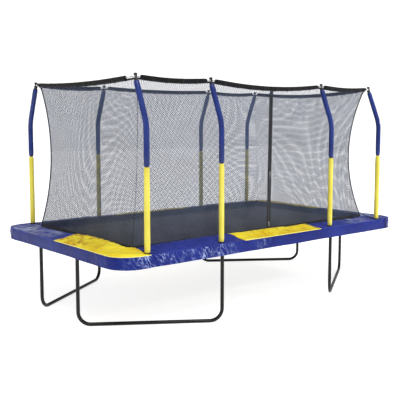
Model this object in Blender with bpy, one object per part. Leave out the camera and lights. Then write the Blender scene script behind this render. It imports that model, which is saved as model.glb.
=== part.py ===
"""Rectangular garden trampoline with a net enclosure, 9 ft by 15 ft.

Frame: +X along the long side, +Y along the short side, +Z up. The origin is
on the ground under the middle of the mat. All sizes are in metres.
"""

import math

import bmesh
import bpy
from mathutils import Vector

# ---- driving dimensions -------------------------------------------------

FRAME_LENGTH = 4.572          # 15 ft over the frame tube, along X
FRAME_WIDTH = 2.743           # 9 ft over the frame tube, along Y
GAP = 0.0003                  # left between pieces that touch
WALL = 0.0015                 # wall of every steel tube

FRAME_TUBE = 0.050            # tube sizes are over the flats
FRAME_TOP = 0.885
FRAME_CORNER_RADIUS = 0.24    # of the tube's centre line
CORNER_ARM_X = 1.55           # where a corner tube meets the long rail
SWAGE_LENGTH = 0.060          # reduced end that slips into the next tube
SOCKET_DEPTH = 0.012          # how far a welded stub reaches into its tube

LEG_TUBE = 0.042
LEG_LONG_X = 0.937            # leg on the long side, distance from the middle
LEG_SHORT_Y = 0.441           # leg on the short side
LEG_BEND_RADIUS = 0.14
LEG_BASE_TOP = 0.203          # seam between the ground piece and the post

POLE_TUBE = 0.038
POLE_Y = 1.330
POLE_END_X = 1.942
POLE_XS = (-POLE_END_X, -LEG_LONG_X, LEG_LONG_X, POLE_END_X)
POLE_BEND_Z = 2.247           # where the two straight runs would cross
POLE_BEND_RADIUS = 0.45
POLE_BEND_STEPS = 3
POLE_TIP = (1.1415, 2.714)    # distance from the middle and height
SPIGOT_HEIGHT = 0.120

SLEEVE_SIZE = 0.062
SLEEVE_FOOT_Z = 0.917         # just clear of the pad
SLEEVE_JOIN_Z = 1.806
SLEEVE_JOIN_GAP = 0.008       # bare pole between the two colours
SLEEVE_TO_TIP = 0.040
CAP_SIZE = 0.042
CAP_LENGTH = 0.032

RING_ROD = 0.009
RING_FOAM = 0.046
RING_Z = 2.728
RING_BARE = 0.100             # rod left bare on each side of a pole
RING_CORNER_RADIUS = 0.030
FOAM_SHOULDER = 0.004          # length over which the rod's foam begins
FOAM_STATIONS = (0.30, 0.50, 0.70)
RING_SAG_DOOR = 0.058         # middle span of the side with the door
RING_SAG_LEFT = 0.035
RING_SAG_RIGHT = 0.065
RING_SAG = 0.025

MAT_X = 1.940                 # half sizes of the mat
MAT_Y = 1.050
MAT_TOP = 0.868
MAT_THICKNESS = 0.003
MAT_CHAMFER = 0.050

SPRING_Z = 0.8645             # middle of the springs
SPRING_WIDTH = 0.018
SPRING_HEIGHT = 0.008
SPRINGS_LONG = 24             # on each long side
SPRINGS_SHORT = 14            # on each short side
WEBBING = 0.012               # strip round the mat that takes the springs

PAD_X = 2.315                 # half sizes over the skirt
PAD_Y = 1.399
PAD_INNER_X = 2.000
PAD_INNER_Y = 1.085
PAD_CORNER_RADIUS = 0.27
PAD_INNER_RADIUS = 0.03
PAD_TOP = 0.914
PAD_CREST = 0.942             # the soft inner edge stands higher
PAD_EDGE_ROUND = 0.012
PAD_FLAT_SHARE = 0.40         # share of the width to where the top stays low
PAD_FLAT_RISE = 0.002
PAD_CREST_SHARE = 0.80
PAD_NOSE = 0.008
SKIRT_BOTTOM = 0.778
SKIRT_THICKNESS = 0.004
POLE_HOLE = 0.046
HOLE_REACH = 0.1              # how far the hole tools pass above and below the pads

NET_THICKNESS = 0.0016
NET_TOP_X = 1.900             # net corners at the ring
NET_TOP_Y = 1.100
NET_FOOT_X = 1.965            # net corners at the mat
NET_FOOT_Y = 1.073
NET_FOOT_Z = 0.874
NET_BELOW_RING = 0.024
NET_PULL = 0.119              # how far the corners are drawn in at mid height
NET_CORNER_GAP = 0.0006
NET_CORNER_POWER = 2.5        # how quickly a wall curves towards its corners
NET_COLUMNS = 8
NET_ROWS = 6

ZIP_X = 0.060
ZIP_WIDTH = 0.058
ZIP_THICKNESS = 0.003
ZIP_FOOT_Z = 0.960
ZIP_HEAD_Z = 2.610
ZIP_UPPER_Z = 1.640           # resting height of the two sliders
ZIP_LOWER_Z = 1.015
SLIDER_LENGTH = 0.024
SLIDER_WIDTH = 0.026
SLIDER_THICKNESS = 0.007
PULL_REACH = 0.045            # from the slider's middle down to the pull's end
PULL_HEAD = 0.004
PULL_WIDTH = 0.014
PULL_THICKNESS = 0.003

SIDES = 8                     # tubes are octagons with level flats

COLOURS = {
    "black_paint": ((0.018, 0.018, 0.020), 0.35, 0.6),
    "zinc": ((0.55, 0.56, 0.58), 0.35, 1.0),
    "yellow_sleeve": ((0.70, 0.50, 0.06), 0.55, 0.0),
    "blue_sleeve": ((0.04, 0.08, 0.35), 0.55, 0.0),
    "blue_pvc": ((0.02, 0.05, 0.42), 0.40, 0.0),
    "black_foam": ((0.015, 0.015, 0.017), 0.75, 0.0),
    "mat_weave": ((0.045, 0.045, 0.050), 0.70, 0.0),
    "net_mesh": ((0.55, 0.58, 0.65), 0.80, 0.0),
    "zip_tape": ((0.02, 0.02, 0.022), 0.65, 0.0),
    "grey_plastic": ((0.60, 0.60, 0.62), 0.40, 0.0),
}


# ---- scene helpers ------------------------------------------------------

def clear_scene():
    for item in list(bpy.data.objects):
        bpy.data.objects.remove(item, do_unlink=True)


def make_material(name):
    """The shared material of that name, made on first use."""
    if name in bpy.data.materials:
        return bpy.data.materials[name]
    colour, roughness, metallic = COLOURS[name]
    material = bpy.data.materials.new(name)
    material.use_nodes = True
    shader = material.node_tree.nodes["Principled BSDF"]
    shader.inputs["Base Color"].default_value = (*colour, 1.0)
    shader.inputs["Roughness"].default_value = roughness
    shader.inputs["Metallic"].default_value = metallic
    return material


def add_object(name, bm, material, location=(0.0, 0.0, 0.0), smooth=True):
    """Turn a bmesh, drawn about `location`, into a named object there."""
    bmesh.ops.recalc_face_normals(bm, faces=bm.faces)
    mesh = bpy.data.meshes.new(name)
    bm.to_mesh(mesh)
    bm.free()
    mesh.materials.append(make_material(material))
    if smooth:
        mesh.shade_smooth()
        mesh.set_sharp_from_angle(angle=math.radians(50))
    item = bpy.data.objects.new(name, mesh)
    item.location = location
    bpy.context.scene.collection.objects.link(item)
    return item


def as_guide(item):
    """Mark an object that only feeds a Boolean."""
    item.hide_render = True
    item.display_type = "WIRE"
    return item


def add_boolean(item, other, operation):
    modifier = item.modifiers.new(operation.lower(), "BOOLEAN")
    modifier.operation = operation
    modifier.object = other
    modifier.solver = "EXACT"


# ---- tubes --------------------------------------------------------------

def octagon(centre, tangent, reference, flat_radius):
    """Corners of an octagon across `tangent`, flats facing `reference`."""
    side = (reference - tangent * reference.dot(tangent)).normalized()
    other = tangent.cross(side)
    corner_radius = flat_radius / math.cos(math.pi / SIDES)
    corners = []
    for step in range(SIDES):
        angle = 2.0 * math.pi * (step + 0.5) / SIDES
        offset = side * math.cos(angle) + other * math.sin(angle)
        corners.append(centre + offset * corner_radius)
    return corners


def tangents(path, closed):
    count = len(path)
    result = []
    for index in range(count):
        before = path[index - 1] if closed or index > 0 else path[index]
        after = path[(index + 1) % count] if closed or index < count - 1 else path[index]
        result.append((after - before).normalized())
    return result


def skin(bm, path, radii, reference, closed=False):
    """Loft octagons along a path and return their vertex loops."""
    loops = []
    for point, tangent, radius in zip(path, tangents(path, closed), radii):
        corners = octagon(point, tangent, reference, radius)
        loops.append([bm.verts.new(corner) for corner in corners])
    pairs = list(zip(loops, loops[1:]))
    if closed:
        pairs.append((loops[-1], loops[0]))
    for lower, upper in pairs:
        for index in range(SIDES):
            after = (index + 1) % SIDES
            bm.faces.new((lower[index], lower[after], upper[after], upper[index]))
    return loops


def join_rims(bm, outer, inner):
    """Close the flat end between an outer and an inner wall."""
    for index in range(SIDES):
        after = (index + 1) % SIDES
        bm.faces.new((outer[index], outer[after], inner[after], inner[index]))


def tube(path, outer, inner, reference):
    """An open-ended tube; outer and inner are flat-to-centre radii per point."""
    bm = bmesh.new()
    outside = skin(bm, path, outer, reference)
    inside = skin(bm, path, inner, reference)
    join_rims(bm, outside[0], inside[0])
    join_rims(bm, outside[-1], inside[-1])
    return bm


def plain_tube(path, size, reference, wall=WALL):
    count = len(path)
    return tube(path, [size / 2] * count, [size / 2 - wall] * count, reference)


def arc(centre, start, end, angle, steps):
    """Points that turn from direction `start` towards `end` round `centre`.

    `start` and `end` are perpendicular and as long as the radius.
    """
    points = []
    for index in range(steps + 1):
        turn = angle * index / steps
        points.append(centre + start * math.cos(turn) + end * math.sin(turn))
    return points


def swaged(path, size, at_start, at_end):
    """Path and radii of a tube whose chosen ends narrow to fit inside a mate.

    The path includes the swages, and the narrow part slips in with a gap.
    """
    radius = size / 2
    narrow = radius - WALL - GAP
    points = list(path)
    outer = [radius] * len(points)
    if at_start:
        along = (path[1] - path[0]).normalized()
        shoulder = path[0] + along * SWAGE_LENGTH
        points[0:1] = [path[0], shoulder, shoulder + along * WALL]
        outer[0:1] = [narrow, narrow, radius]
    if at_end:
        along = (path[-1] - path[-2]).normalized()
        shoulder = path[-1] - along * SWAGE_LENGTH
        points[-1:] = [shoulder - along * WALL, shoulder, path[-1]]
        outer[-1:] = [radius, narrow, narrow]
    inner = [value - WALL for value in outer]
    return points, outer, inner


# ---- steel frame --------------------------------------------------------

UP = Vector((0.0, 0.0, 1.0))
ACROSS_X = Vector((1.0, 0.0, 0.0))
FRAME_Z = FRAME_TOP - FRAME_TUBE / 2
FRAME_X = FRAME_LENGTH / 2 - FRAME_TUBE / 2
FRAME_Y = FRAME_WIDTH / 2 - FRAME_TUBE / 2


def weld_stub(item, name, foot, head, size, reference):
    """Weld a short tube to a frame tube; its flats face `reference`."""
    path = [Vector(foot), Vector(head)]
    stub = add_object(name, plain_tube(path, size, reference), "black_paint")
    add_boolean(item, as_guide(stub), "UNION")


def add_stubs(item, name, side_x, side_y, leg, pole):
    """Weld the leg socket under a frame tube and the pole spigot on top."""
    socket_size = LEG_TUBE - 2 * WALL - 2 * GAP
    socket_foot = (*leg, FRAME_TOP - FRAME_TUBE - SWAGE_LENGTH)
    socket_head = (*leg, FRAME_TOP - FRAME_TUBE + SOCKET_DEPTH)
    weld_stub(item, name + "_leg_socket", socket_foot, socket_head, socket_size,
              leg_normal(side_x, side_y))
    spigot_size = POLE_TUBE - 2 * WALL - 2 * GAP
    spigot_foot = (*pole, FRAME_TOP - SOCKET_DEPTH)
    spigot_head = (*pole, FRAME_TOP + SPIGOT_HEIGHT)
    weld_stub(item, name + "_pole_spigot", spigot_foot, spigot_head, spigot_size, ACROSS_X)


def corner_path(side_x, side_y):
    """Centre line of a corner tube from the long rail to the short side's middle."""
    radius = FRAME_CORNER_RADIUS
    centre = Vector((side_x * (FRAME_X - radius), side_y * (FRAME_Y - radius), FRAME_Z))
    start = Vector((0.0, side_y * radius, 0.0))
    end = Vector((side_x * radius, 0.0, 0.0))
    rail_end = Vector((side_x * CORNER_ARM_X, side_y * FRAME_Y, FRAME_Z))
    middle = Vector((side_x * FRAME_X, side_y * GAP, FRAME_Z))
    return [rail_end, *arc(centre, start, end, math.pi / 2, 4), middle]


def make_corner(name, side_x, side_y):
    """An L of frame tube; two of the four have the swage at the short side."""
    path = corner_path(side_x, side_y)
    has_swage = side_x * side_y > 0
    if has_swage:
        path[-1].y -= side_y * SWAGE_LENGTH
    points, outer, inner = swaged(path, FRAME_TUBE, False, has_swage)
    item = add_object(name, tube(points, outer, inner, UP), "black_paint")
    leg = (side_x * FRAME_X, side_y * LEG_SHORT_Y)
    pole = (side_x * POLE_END_X, side_y * POLE_Y)
    add_stubs(item, name, side_x, side_y, leg, pole)


def make_rail(name, side_x, side_y):
    """Half of a long side, from the middle to a corner tube."""
    at_middle = side_x > 0
    near = side_x * GAP - (SWAGE_LENGTH if at_middle else 0.0)
    far = side_x * (CORNER_ARM_X - GAP + SWAGE_LENGTH)
    path = [Vector((x, side_y * FRAME_Y, FRAME_Z)) for x in (near, far)]
    points, outer, inner = swaged(path, FRAME_TUBE, at_middle, True)
    item = add_object(name, tube(points, outer, inner, UP), "black_paint")
    leg = (side_x * LEG_LONG_X, side_y * FRAME_Y)
    pole = (side_x * LEG_LONG_X, side_y * POLE_Y)
    add_stubs(item, name, side_x, side_y, leg, pole)


def leg_feet(side_x, side_y):
    """Where the two uprights of a corner's leg stand."""
    short_side = Vector((side_x * FRAME_X, side_y * LEG_SHORT_Y, 0.0))
    long_side = Vector((side_x * LEG_LONG_X, side_y * FRAME_Y, 0.0))
    return short_side, long_side


def leg_normal(side_x, side_y):
    """Level direction across the plane of a corner's leg."""
    first, second = leg_feet(side_x, side_y)
    return (second - first).normalized().cross(UP)


def make_leg_base(name, side_x, side_y):
    """U of tube on the ground, with swaged ends that carry the posts."""
    first, second = leg_feet(side_x, side_y)
    along = (second - first).normalized()
    radius = LEG_BEND_RADIUS
    bottom = UP * (LEG_TUBE / 2)
    top = UP * (LEG_BASE_TOP - GAP + SWAGE_LENGTH)
    first_centre = first + bottom + (along + UP) * radius
    second_centre = second + bottom + (UP - along) * radius
    path = [
        first + top,
        *arc(first_centre, -along * radius, -UP * radius, math.pi / 2, 4),
        *arc(second_centre, -UP * radius, along * radius, math.pi / 2, 4),
        second + top,
    ]
    points, outer, inner = swaged(path, LEG_TUBE, True, True)
    normal = leg_normal(side_x, side_y)
    add_object(name, tube(points, outer, inner, normal), "black_paint")


def make_leg_post(name, foot, normal):
    """Straight upright from the ground piece to the frame's socket."""
    top = FRAME_TOP - FRAME_TUBE - GAP
    path = [foot + UP * LEG_BASE_TOP, foot + UP * top]
    add_object(name, plain_tube(path, LEG_TUBE, normal), "black_paint")


# ---- poles and their sleeves --------------------------------------------

def pole_lean():
    """Angle of the leaning top from upright."""
    tip_y, tip_z = POLE_TIP
    return math.atan2(POLE_Y - tip_y, tip_z - POLE_BEND_Z)


def pole_point(distance_above_bend, side_y):
    """A point on the leaning run, measured along it from the crossing."""
    lean = pole_lean()
    y = POLE_Y - distance_above_bend * math.sin(lean)
    return Vector((0.0, side_y * y, POLE_BEND_Z + distance_above_bend * math.cos(lean)))


def pole_bend(side_y):
    """Points of the bend, from the straight run to the leaning one."""
    lean = pole_lean()
    radius = POLE_BEND_RADIUS
    start_z = POLE_BEND_Z - radius * math.tan(lean / 2)
    centre = Vector((0.0, side_y * (POLE_Y - radius), start_z))
    return arc(centre, Vector((0.0, side_y * radius, 0.0)), UP * radius, lean, POLE_BEND_STEPS)


def tip_distance():
    tip_y, tip_z = POLE_TIP
    return math.hypot(POLE_Y - tip_y, tip_z - POLE_BEND_Z)


def make_pole(name, x, side_y):
    """Bent pole, open below, closed above by its cap and ring hook."""
    foot = Vector((0.0, side_y * POLE_Y, FRAME_TOP + GAP))
    cap_foot = pole_point(tip_distance() - CAP_LENGTH, side_y)
    cap_head = pole_point(tip_distance(), side_y)
    tube_path = [foot, *pole_bend(side_y), cap_foot]
    tube_radius = POLE_TUBE / 2
    bm = bmesh.new()
    outside = skin(bm, tube_path, [tube_radius] * len(tube_path), ACROSS_X)
    along = (cap_head - cap_foot).normalized()
    cap = []
    for point in (cap_foot, cap_head):
        corners = octagon(point, along, ACROSS_X, CAP_SIZE / 2)
        cap.append([bm.verts.new(corner) for corner in corners])
    for lower, upper in ((outside[-1], cap[0]), (cap[0], cap[1])):
        join_rims(bm, lower, upper)
    bm.faces.new(cap[1])
    inner_path = [*tube_path[:-1], cap_foot - along * WALL]
    inside = skin(bm, inner_path, [tube_radius - WALL] * len(inner_path), ACROSS_X)
    bm.faces.new(inside[-1])
    join_rims(bm, outside[0], inside[0])
    add_object(name, bm, "black_paint", location=(x, 0.0, 0.0))


def make_lower_sleeve(name, x, side_y):
    head_z = SLEEVE_JOIN_Z - SLEEVE_JOIN_GAP / 2
    path = [Vector((0.0, side_y * POLE_Y, z)) for z in (SLEEVE_FOOT_Z, head_z)]
    wall = (SLEEVE_SIZE - POLE_TUBE) / 2 - GAP
    bm = plain_tube(path, SLEEVE_SIZE, ACROSS_X, wall)
    add_object(name, bm, "yellow_sleeve", location=(x, 0.0, 0.0))


def make_upper_sleeve(name, x, side_y):
    foot = Vector((0.0, side_y * POLE_Y, SLEEVE_JOIN_Z + SLEEVE_JOIN_GAP / 2))
    head = pole_point(tip_distance() - SLEEVE_TO_TIP, side_y)
    path = [foot, *pole_bend(side_y), head]
    wall = (SLEEVE_SIZE - POLE_TUBE) / 2 - GAP
    bm = plain_tube(path, SLEEVE_SIZE, ACROSS_X, wall)
    add_object(name, bm, "blue_sleeve", location=(x, 0.0, 0.0))


# ---- top ring -----------------------------------------------------------

def ring_tips():
    """Pole tips in order round the ring, with the sag of the span after each."""
    tip_y = POLE_TIP[0]
    front = [(x, -tip_y) for x in POLE_XS]
    back = [(x, tip_y) for x in reversed(POLE_XS)]
    sags = [RING_SAG, RING_SAG_DOOR, RING_SAG, RING_SAG_RIGHT, RING_SAG, RING_SAG, RING_SAG,
            RING_SAG_LEFT]
    return list(zip(front + back, sags))


def ring_height(fraction, sag):
    """Height of the ring at a fraction of a span between two poles."""
    return RING_Z - sag * (1.0 - (2.0 * fraction - 1.0) ** 2)


def make_top_ring(name):
    """Thin rod over the poles, thick foam sleeves between them, one loop."""
    tips = ring_tips()
    path, radii = [], []
    thin, thick = RING_ROD / 2, RING_FOAM / 2
    for index, (tip, sag) in enumerate(tips):
        start = Vector((*tip, 0.0))
        end = Vector((*tips[(index + 1) % len(tips)][0], 0.0))
        length = (end - start).length
        stations = [
            (RING_CORNER_RADIUS, thin),
            (RING_BARE, thin),
            (RING_BARE + FOAM_SHOULDER, thick),
            *[(length * share, thick) for share in FOAM_STATIONS],
            (length - RING_BARE - FOAM_SHOULDER, thick),
            (length - RING_BARE, thin),
            (length - RING_CORNER_RADIUS, thin),
        ]
        for distance, radius in stations:
            fraction = distance / length
            point = start.lerp(end, fraction)
            point.z = ring_height(fraction, sag)
            path.append(point)
            radii.append(radius)
    bm = bmesh.new()
    skin(bm, path, radii, UP, closed=True)
    add_object(name, bm, "black_foam")


# ---- mat and springs ----------------------------------------------------

def chamfered_rectangle(half_x, half_y, chamfer):
    corners = []
    for side_x, side_y, x_first in ((1, 1, True), (-1, 1, False), (-1, -1, True), (1, -1, False)):
        on_x_side = (side_x * half_x, side_y * (half_y - chamfer))
        on_y_side = (side_x * (half_x - chamfer), side_y * half_y)
        corners += [on_x_side, on_y_side] if x_first else [on_y_side, on_x_side]
    return corners


def plate(outline, low, high, hole=None):
    """A flat plate with an outline and, if given, one hole."""
    bm = bmesh.new()
    loops = []
    for points in [outline] + ([hole] if hole else []):
        verts = [bm.verts.new((x, y, low)) for x, y in points]
        pairs = zip(verts, verts[1:] + verts[:1])
        loops += [bm.edges.new(pair) for pair in pairs]
    bmesh.ops.triangle_fill(bm, use_beauty=True, use_dissolve=False, edges=loops)
    bottom = list(bm.faces)
    moved = bmesh.ops.extrude_face_region(bm, geom=bottom, use_keep_orig=True)["geom"]
    top = [item for item in moved if isinstance(item, bmesh.types.BMVert)]
    bmesh.ops.translate(bm, verts=top, vec=(0.0, 0.0, high - low))
    return bm


def make_mat(name):
    outline = chamfered_rectangle(MAT_X, MAT_Y, MAT_CHAMFER)
    bm = plate(outline, MAT_TOP - MAT_THICKNESS, MAT_TOP)
    add_object(name, bm, "mat_weave", smooth=False)


def comb_edge(start, end, outward, count, reach):
    """Outline of one side of the webbing with its springs standing out."""
    along = (end - start).normalized()
    spacing = (end - start).length / count
    half = along * (SPRING_WIDTH / 2)
    points = [start]
    for index in range(count):
        root = start + along * (spacing * (index + 0.5))
        tip = root + outward * reach
        points += [root - half, tip - half, tip + half, root + half]
    points.append(end)
    return [(point.x, point.y) for point in points]


def make_springs(name):
    """All springs and the webbing round the mat, as one comb-like loop."""
    inner = chamfered_rectangle(MAT_X + GAP, MAT_Y + GAP, MAT_CHAMFER)
    half_x, half_y = MAT_X + WEBBING, MAT_Y + WEBBING
    corner_x, corner_y = half_x - MAT_CHAMFER, half_y - MAT_CHAMFER
    reach_y = FRAME_WIDTH / 2 - FRAME_TUBE - GAP - half_y
    reach_x = FRAME_LENGTH / 2 - FRAME_TUBE - GAP - half_x
    sides = [
        ((half_x, -corner_y), (half_x, corner_y), (1, 0), SPRINGS_SHORT, reach_x),
        ((corner_x, half_y), (-corner_x, half_y), (0, 1), SPRINGS_LONG, reach_y),
        ((-half_x, corner_y), (-half_x, -corner_y), (-1, 0), SPRINGS_SHORT, reach_x),
        ((-corner_x, -half_y), (corner_x, -half_y), (0, -1), SPRINGS_LONG, reach_y),
    ]
    outline = []
    for start, end, outward, count, reach in sides:
        outline += comb_edge(Vector(start), Vector(end), Vector(outward), count, reach)
    low, high = SPRING_Z - SPRING_HEIGHT / 2, SPRING_Z + SPRING_HEIGHT / 2
    add_object(name, plate(outline, low, high, inner), "zinc", smooth=False)


# ---- safety pads --------------------------------------------------------

def pad_section(width):
    """Cross-section of a pad: distance in from the skirt, and height."""
    under = FRAME_TOP + GAP
    return [
        (0.0, SKIRT_BOTTOM),
        (0.0, PAD_TOP - PAD_EDGE_ROUND),
        (PAD_EDGE_ROUND, PAD_TOP),
        (width * PAD_FLAT_SHARE, PAD_TOP + PAD_FLAT_RISE),
        (width * PAD_CREST_SHARE, PAD_CREST),
        (width - PAD_NOSE, PAD_CREST - PAD_NOSE),
        (width, (PAD_CREST + under) / 2),
        (width - PAD_NOSE, under),
        (SKIRT_THICKNESS, under),
        (SKIRT_THICKNESS, SKIRT_BOTTOM),
    ]


def pad_mesh(outer, inner):
    """Loft the pad's section between matching outer and inner plan points."""
    bm = bmesh.new()
    loops = []
    for outside, inside in zip(outer, inner):
        across = inside - outside
        section = pad_section(across.length)
        inward = across.normalized()
        points = [outside + inward * distance for distance, _ in section]
        loops.append([
            bm.verts.new((point.x, point.y, height))
            for point, (_, height) in zip(points, section)
        ])
    for first, second in zip(loops, loops[1:]):
        for index in range(len(first)):
            after = (index + 1) % len(first)
            bm.faces.new((first[index], first[after], second[after], second[index]))
    bm.faces.new(loops[0])
    bm.faces.new(loops[-1])
    return bm


def rounded_corner(half_x, half_y, radius, side_x, side_y, steps):
    """Plan points of a pad corner from the long side to the short side."""
    centre = Vector((side_x * (half_x - radius), side_y * (half_y - radius)))
    start = Vector((0.0, side_y * radius))
    end = Vector((side_x * radius, 0.0))
    return arc(centre, start, end, math.pi / 2, steps)


def end_pad_plan(side_x, half_x, half_y, radius):
    """Plan line of an end pad, round both of its corners."""
    seam = side_x * (POLE_END_X + GAP)
    near = rounded_corner(half_x, half_y, radius, side_x, -1, 4)
    far = rounded_corner(half_x, half_y, radius, side_x, 1, 4)
    return [Vector((seam, -half_y)), *near, *reversed(far), Vector((seam, half_y))]


def make_end_pad(name, side_x, holes):
    outer = end_pad_plan(side_x, PAD_X, PAD_Y, PAD_CORNER_RADIUS)
    inner = end_pad_plan(side_x, PAD_INNER_X, PAD_INNER_Y, PAD_INNER_RADIUS)
    item = add_object(name, pad_mesh(outer, inner), "blue_pvc")
    add_boolean(item, holes, "DIFFERENCE")


def make_side_pad(name, side_y, holes):
    seam = POLE_END_X - GAP
    xs = [-seam, 0.0, seam]
    outer = [Vector((x, side_y * PAD_Y)) for x in xs]
    inner = [Vector((x, side_y * PAD_INNER_Y)) for x in xs]
    item = add_object(name, pad_mesh(outer, inner), "blue_pvc")
    add_boolean(item, holes, "DIFFERENCE")


def make_pole_holes():
    """Guide solid with one octagonal prism for each pole."""
    bm = bmesh.new()
    for x in POLE_XS:
        for side_y in (-1, 1):
            ends = (FRAME_TOP - HOLE_REACH, PAD_TOP + HOLE_REACH)
            path = [Vector((x, side_y * POLE_Y, z)) for z in ends]
            loops = skin(bm, path, [POLE_HOLE / 2] * 2, ACROSS_X)
            for loop in loops:
                bm.faces.new(loop)
    return as_guide(add_object("pole_holes", bm, "blue_pvc"))


# ---- net ----------------------------------------------------------------

def net_corner(height):
    """Distance of the net's corner from the middle at a fraction of its height."""
    pull = NET_PULL * 4.0 * height * (1.0 - height)
    x = NET_FOOT_X + (NET_TOP_X - NET_FOOT_X) * height - pull
    y = NET_FOOT_Y + (NET_TOP_Y - NET_FOOT_Y) * height - pull
    return x, y


def net_wall_out(height, along, foot, top, corner):
    """Distance out of a wall at a fraction of its height and half length."""
    middle = foot + (top - foot) * height
    return middle + (corner - middle) * abs(along) ** NET_CORNER_POWER


def net_top_z(along, side, is_long):
    """Height of the net's top edge, a little below the ring."""
    if not is_long:
        sag = RING_SAG_LEFT if side < 0 else RING_SAG_RIGHT
        fraction = (along + 1.0) / 2.0
    else:
        x = along * POLE_END_X
        if abs(x) < LEG_LONG_X:
            sag = RING_SAG_DOOR if side < 0 else RING_SAG
            fraction = (x + LEG_LONG_X) / (2.0 * LEG_LONG_X)
        else:
            sag = RING_SAG
            fraction = (abs(x) - LEG_LONG_X) / (POLE_END_X - LEG_LONG_X)
    return ring_height(fraction, sag) - NET_BELOW_RING


def net_point(side, is_long, along, height, outward):
    """A point of a wall; outward moves it off the sheet's middle surface."""
    corner_x, corner_y = net_corner(height)
    z = NET_FOOT_Z + (net_top_z(along, side, is_long) - NET_FOOT_Z) * height
    if is_long:
        out = net_wall_out(height, along, NET_FOOT_Y, NET_TOP_Y, corner_y) + outward
        return Vector((along * (corner_x - NET_CORNER_GAP - NET_THICKNESS), side * out, z))
    out = net_wall_out(height, along, NET_FOOT_X, NET_TOP_X, corner_x) + outward
    return Vector((side * out, along * (corner_y - NET_CORNER_GAP - NET_THICKNESS), z))


def make_net_wall(name, side, is_long):
    """One side of the net as a thin closed sheet."""
    bm = bmesh.new()
    grids = []
    for outward in (-NET_THICKNESS / 2, NET_THICKNESS / 2):
        grid = []
        for row in range(NET_ROWS + 1):
            height = row / NET_ROWS
            alongs = [2.0 * column / NET_COLUMNS - 1.0 for column in range(NET_COLUMNS + 1)]
            points = [net_point(side, is_long, along, height, outward) for along in alongs]
            grid.append([bm.verts.new(point) for point in points])
        grids.append(grid)
        for row in range(NET_ROWS):
            for column in range(NET_COLUMNS):
                low, high = grid[row], grid[row + 1]
                bm.faces.new((low[column], low[column + 1], high[column + 1], high[column]))
    rims = []
    for grid in grids:
        left = [row[0] for row in grid]
        right = [row[-1] for row in grid]
        rims.append(grid[0] + right[1:] + grid[-1][-2::-1] + left[-2:0:-1])
    inside, outside = rims
    for index in range(len(inside)):
        after = (index + 1) % len(inside)
        bm.faces.new((inside[index], inside[after], outside[after], outside[index]))
    add_object(name, bm, "net_mesh")


# ---- door zip -----------------------------------------------------------

def zip_point(z, outward):
    """A point on the zip's line, `outward` from the net's middle surface."""
    head_z = RING_Z - RING_SAG_DOOR - NET_BELOW_RING
    height = (z - NET_FOOT_Z) / (head_z - NET_FOOT_Z)
    y = NET_FOOT_Y + (NET_TOP_Y - NET_FOOT_Y) * height + outward
    return Vector((ZIP_X, -y, z))


def zip_direction():
    return (zip_point(ZIP_HEAD_Z, 0.0) - zip_point(ZIP_FOOT_Z, 0.0)).normalized()


def bar(foot, head, width, thickness, outward):
    """A flat bar from foot to head whose back lies on that line."""
    bm = bmesh.new()
    half = ACROSS_X * (width / 2)
    depth = outward * thickness
    loops = []
    for end in (foot, head):
        corners = (end - half, end + half, end + half + depth, end - half + depth)
        loops.append([bm.verts.new(corner) for corner in corners])
        bm.faces.new(loops[-1])
    for index in range(4):
        after = (index + 1) % 4
        bm.faces.new((loops[0][index], loops[0][after], loops[1][after], loops[1][index]))
    return bm


def zip_outward():
    return zip_direction().cross(ACROSS_X).normalized() * -1.0


def make_zip_tape(name):
    back = NET_THICKNESS / 2 + GAP
    foot, head = zip_point(ZIP_FOOT_Z, back), zip_point(ZIP_HEAD_Z, back)
    bm = bar(foot, head, ZIP_WIDTH, ZIP_THICKNESS, zip_outward())
    add_object(name, bm, "zip_tape", smooth=False)


def make_slider(name, z):
    """Slider body with its pull tab; its origin is on the zip's line."""
    face = NET_THICKNESS / 2 + GAP + ZIP_THICKNESS + GAP
    along, outward = zip_direction(), zip_outward()
    origin = zip_point(z, 0.0)
    centre = zip_point(z, face) - origin
    half = along * (SLIDER_LENGTH / 2)
    bm = bar(centre - half, centre + half, SLIDER_WIDTH, SLIDER_THICKNESS, outward)
    item = add_object(name, bm, "grey_plastic", origin, smooth=False)
    pull_foot = centre - along * PULL_REACH + outward * PULL_THICKNESS
    pull_head = centre + along * PULL_HEAD + outward * PULL_THICKNESS
    pull_bar = bar(pull_foot, pull_head, PULL_WIDTH, PULL_THICKNESS, outward)
    pull = add_object(name + "_pull", pull_bar, "grey_plastic", origin, smooth=False)
    add_boolean(item, as_guide(pull), "UNION")


# ---- the whole object ---------------------------------------------------

def make_corners():
    """Everything that comes once for each corner of the trampoline."""
    for end, side_x in (("left", -1), ("right", 1)):
        for face, side_y in (("front", -1), ("back", 1)):
            place = f"{face}_{end}"
            make_corner(f"frame_corner_{place}", side_x, side_y)
            make_rail(f"frame_rail_{place}", side_x, side_y)
            make_leg_base(f"leg_base_{place}", side_x, side_y)
            short_foot, long_foot = leg_feet(side_x, side_y)
            normal = leg_normal(side_x, side_y)
            make_leg_post(f"leg_post_{place}_end", short_foot, normal)
            make_leg_post(f"leg_post_{place}_side", long_foot, normal)


def make_poles():
    for face, side_y in (("front", -1), ("back", 1)):
        for number, x in enumerate(POLE_XS, start=1):
            place = f"{face}_{number}"
            make_pole(f"pole_{place}", x, side_y)
            make_lower_sleeve(f"sleeve_lower_{place}", x, side_y)
            make_upper_sleeve(f"sleeve_upper_{place}", x, side_y)


def make_soft_parts():
    holes = make_pole_holes()
    make_end_pad("pad_left", -1, holes)
    make_end_pad("pad_right", 1, holes)
    make_side_pad("pad_front", -1, holes)
    make_side_pad("pad_back", 1, holes)
    make_net_wall("net_front", -1, True)
    make_net_wall("net_back", 1, True)
    make_net_wall("net_left", -1, False)
    make_net_wall("net_right", 1, False)


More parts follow.
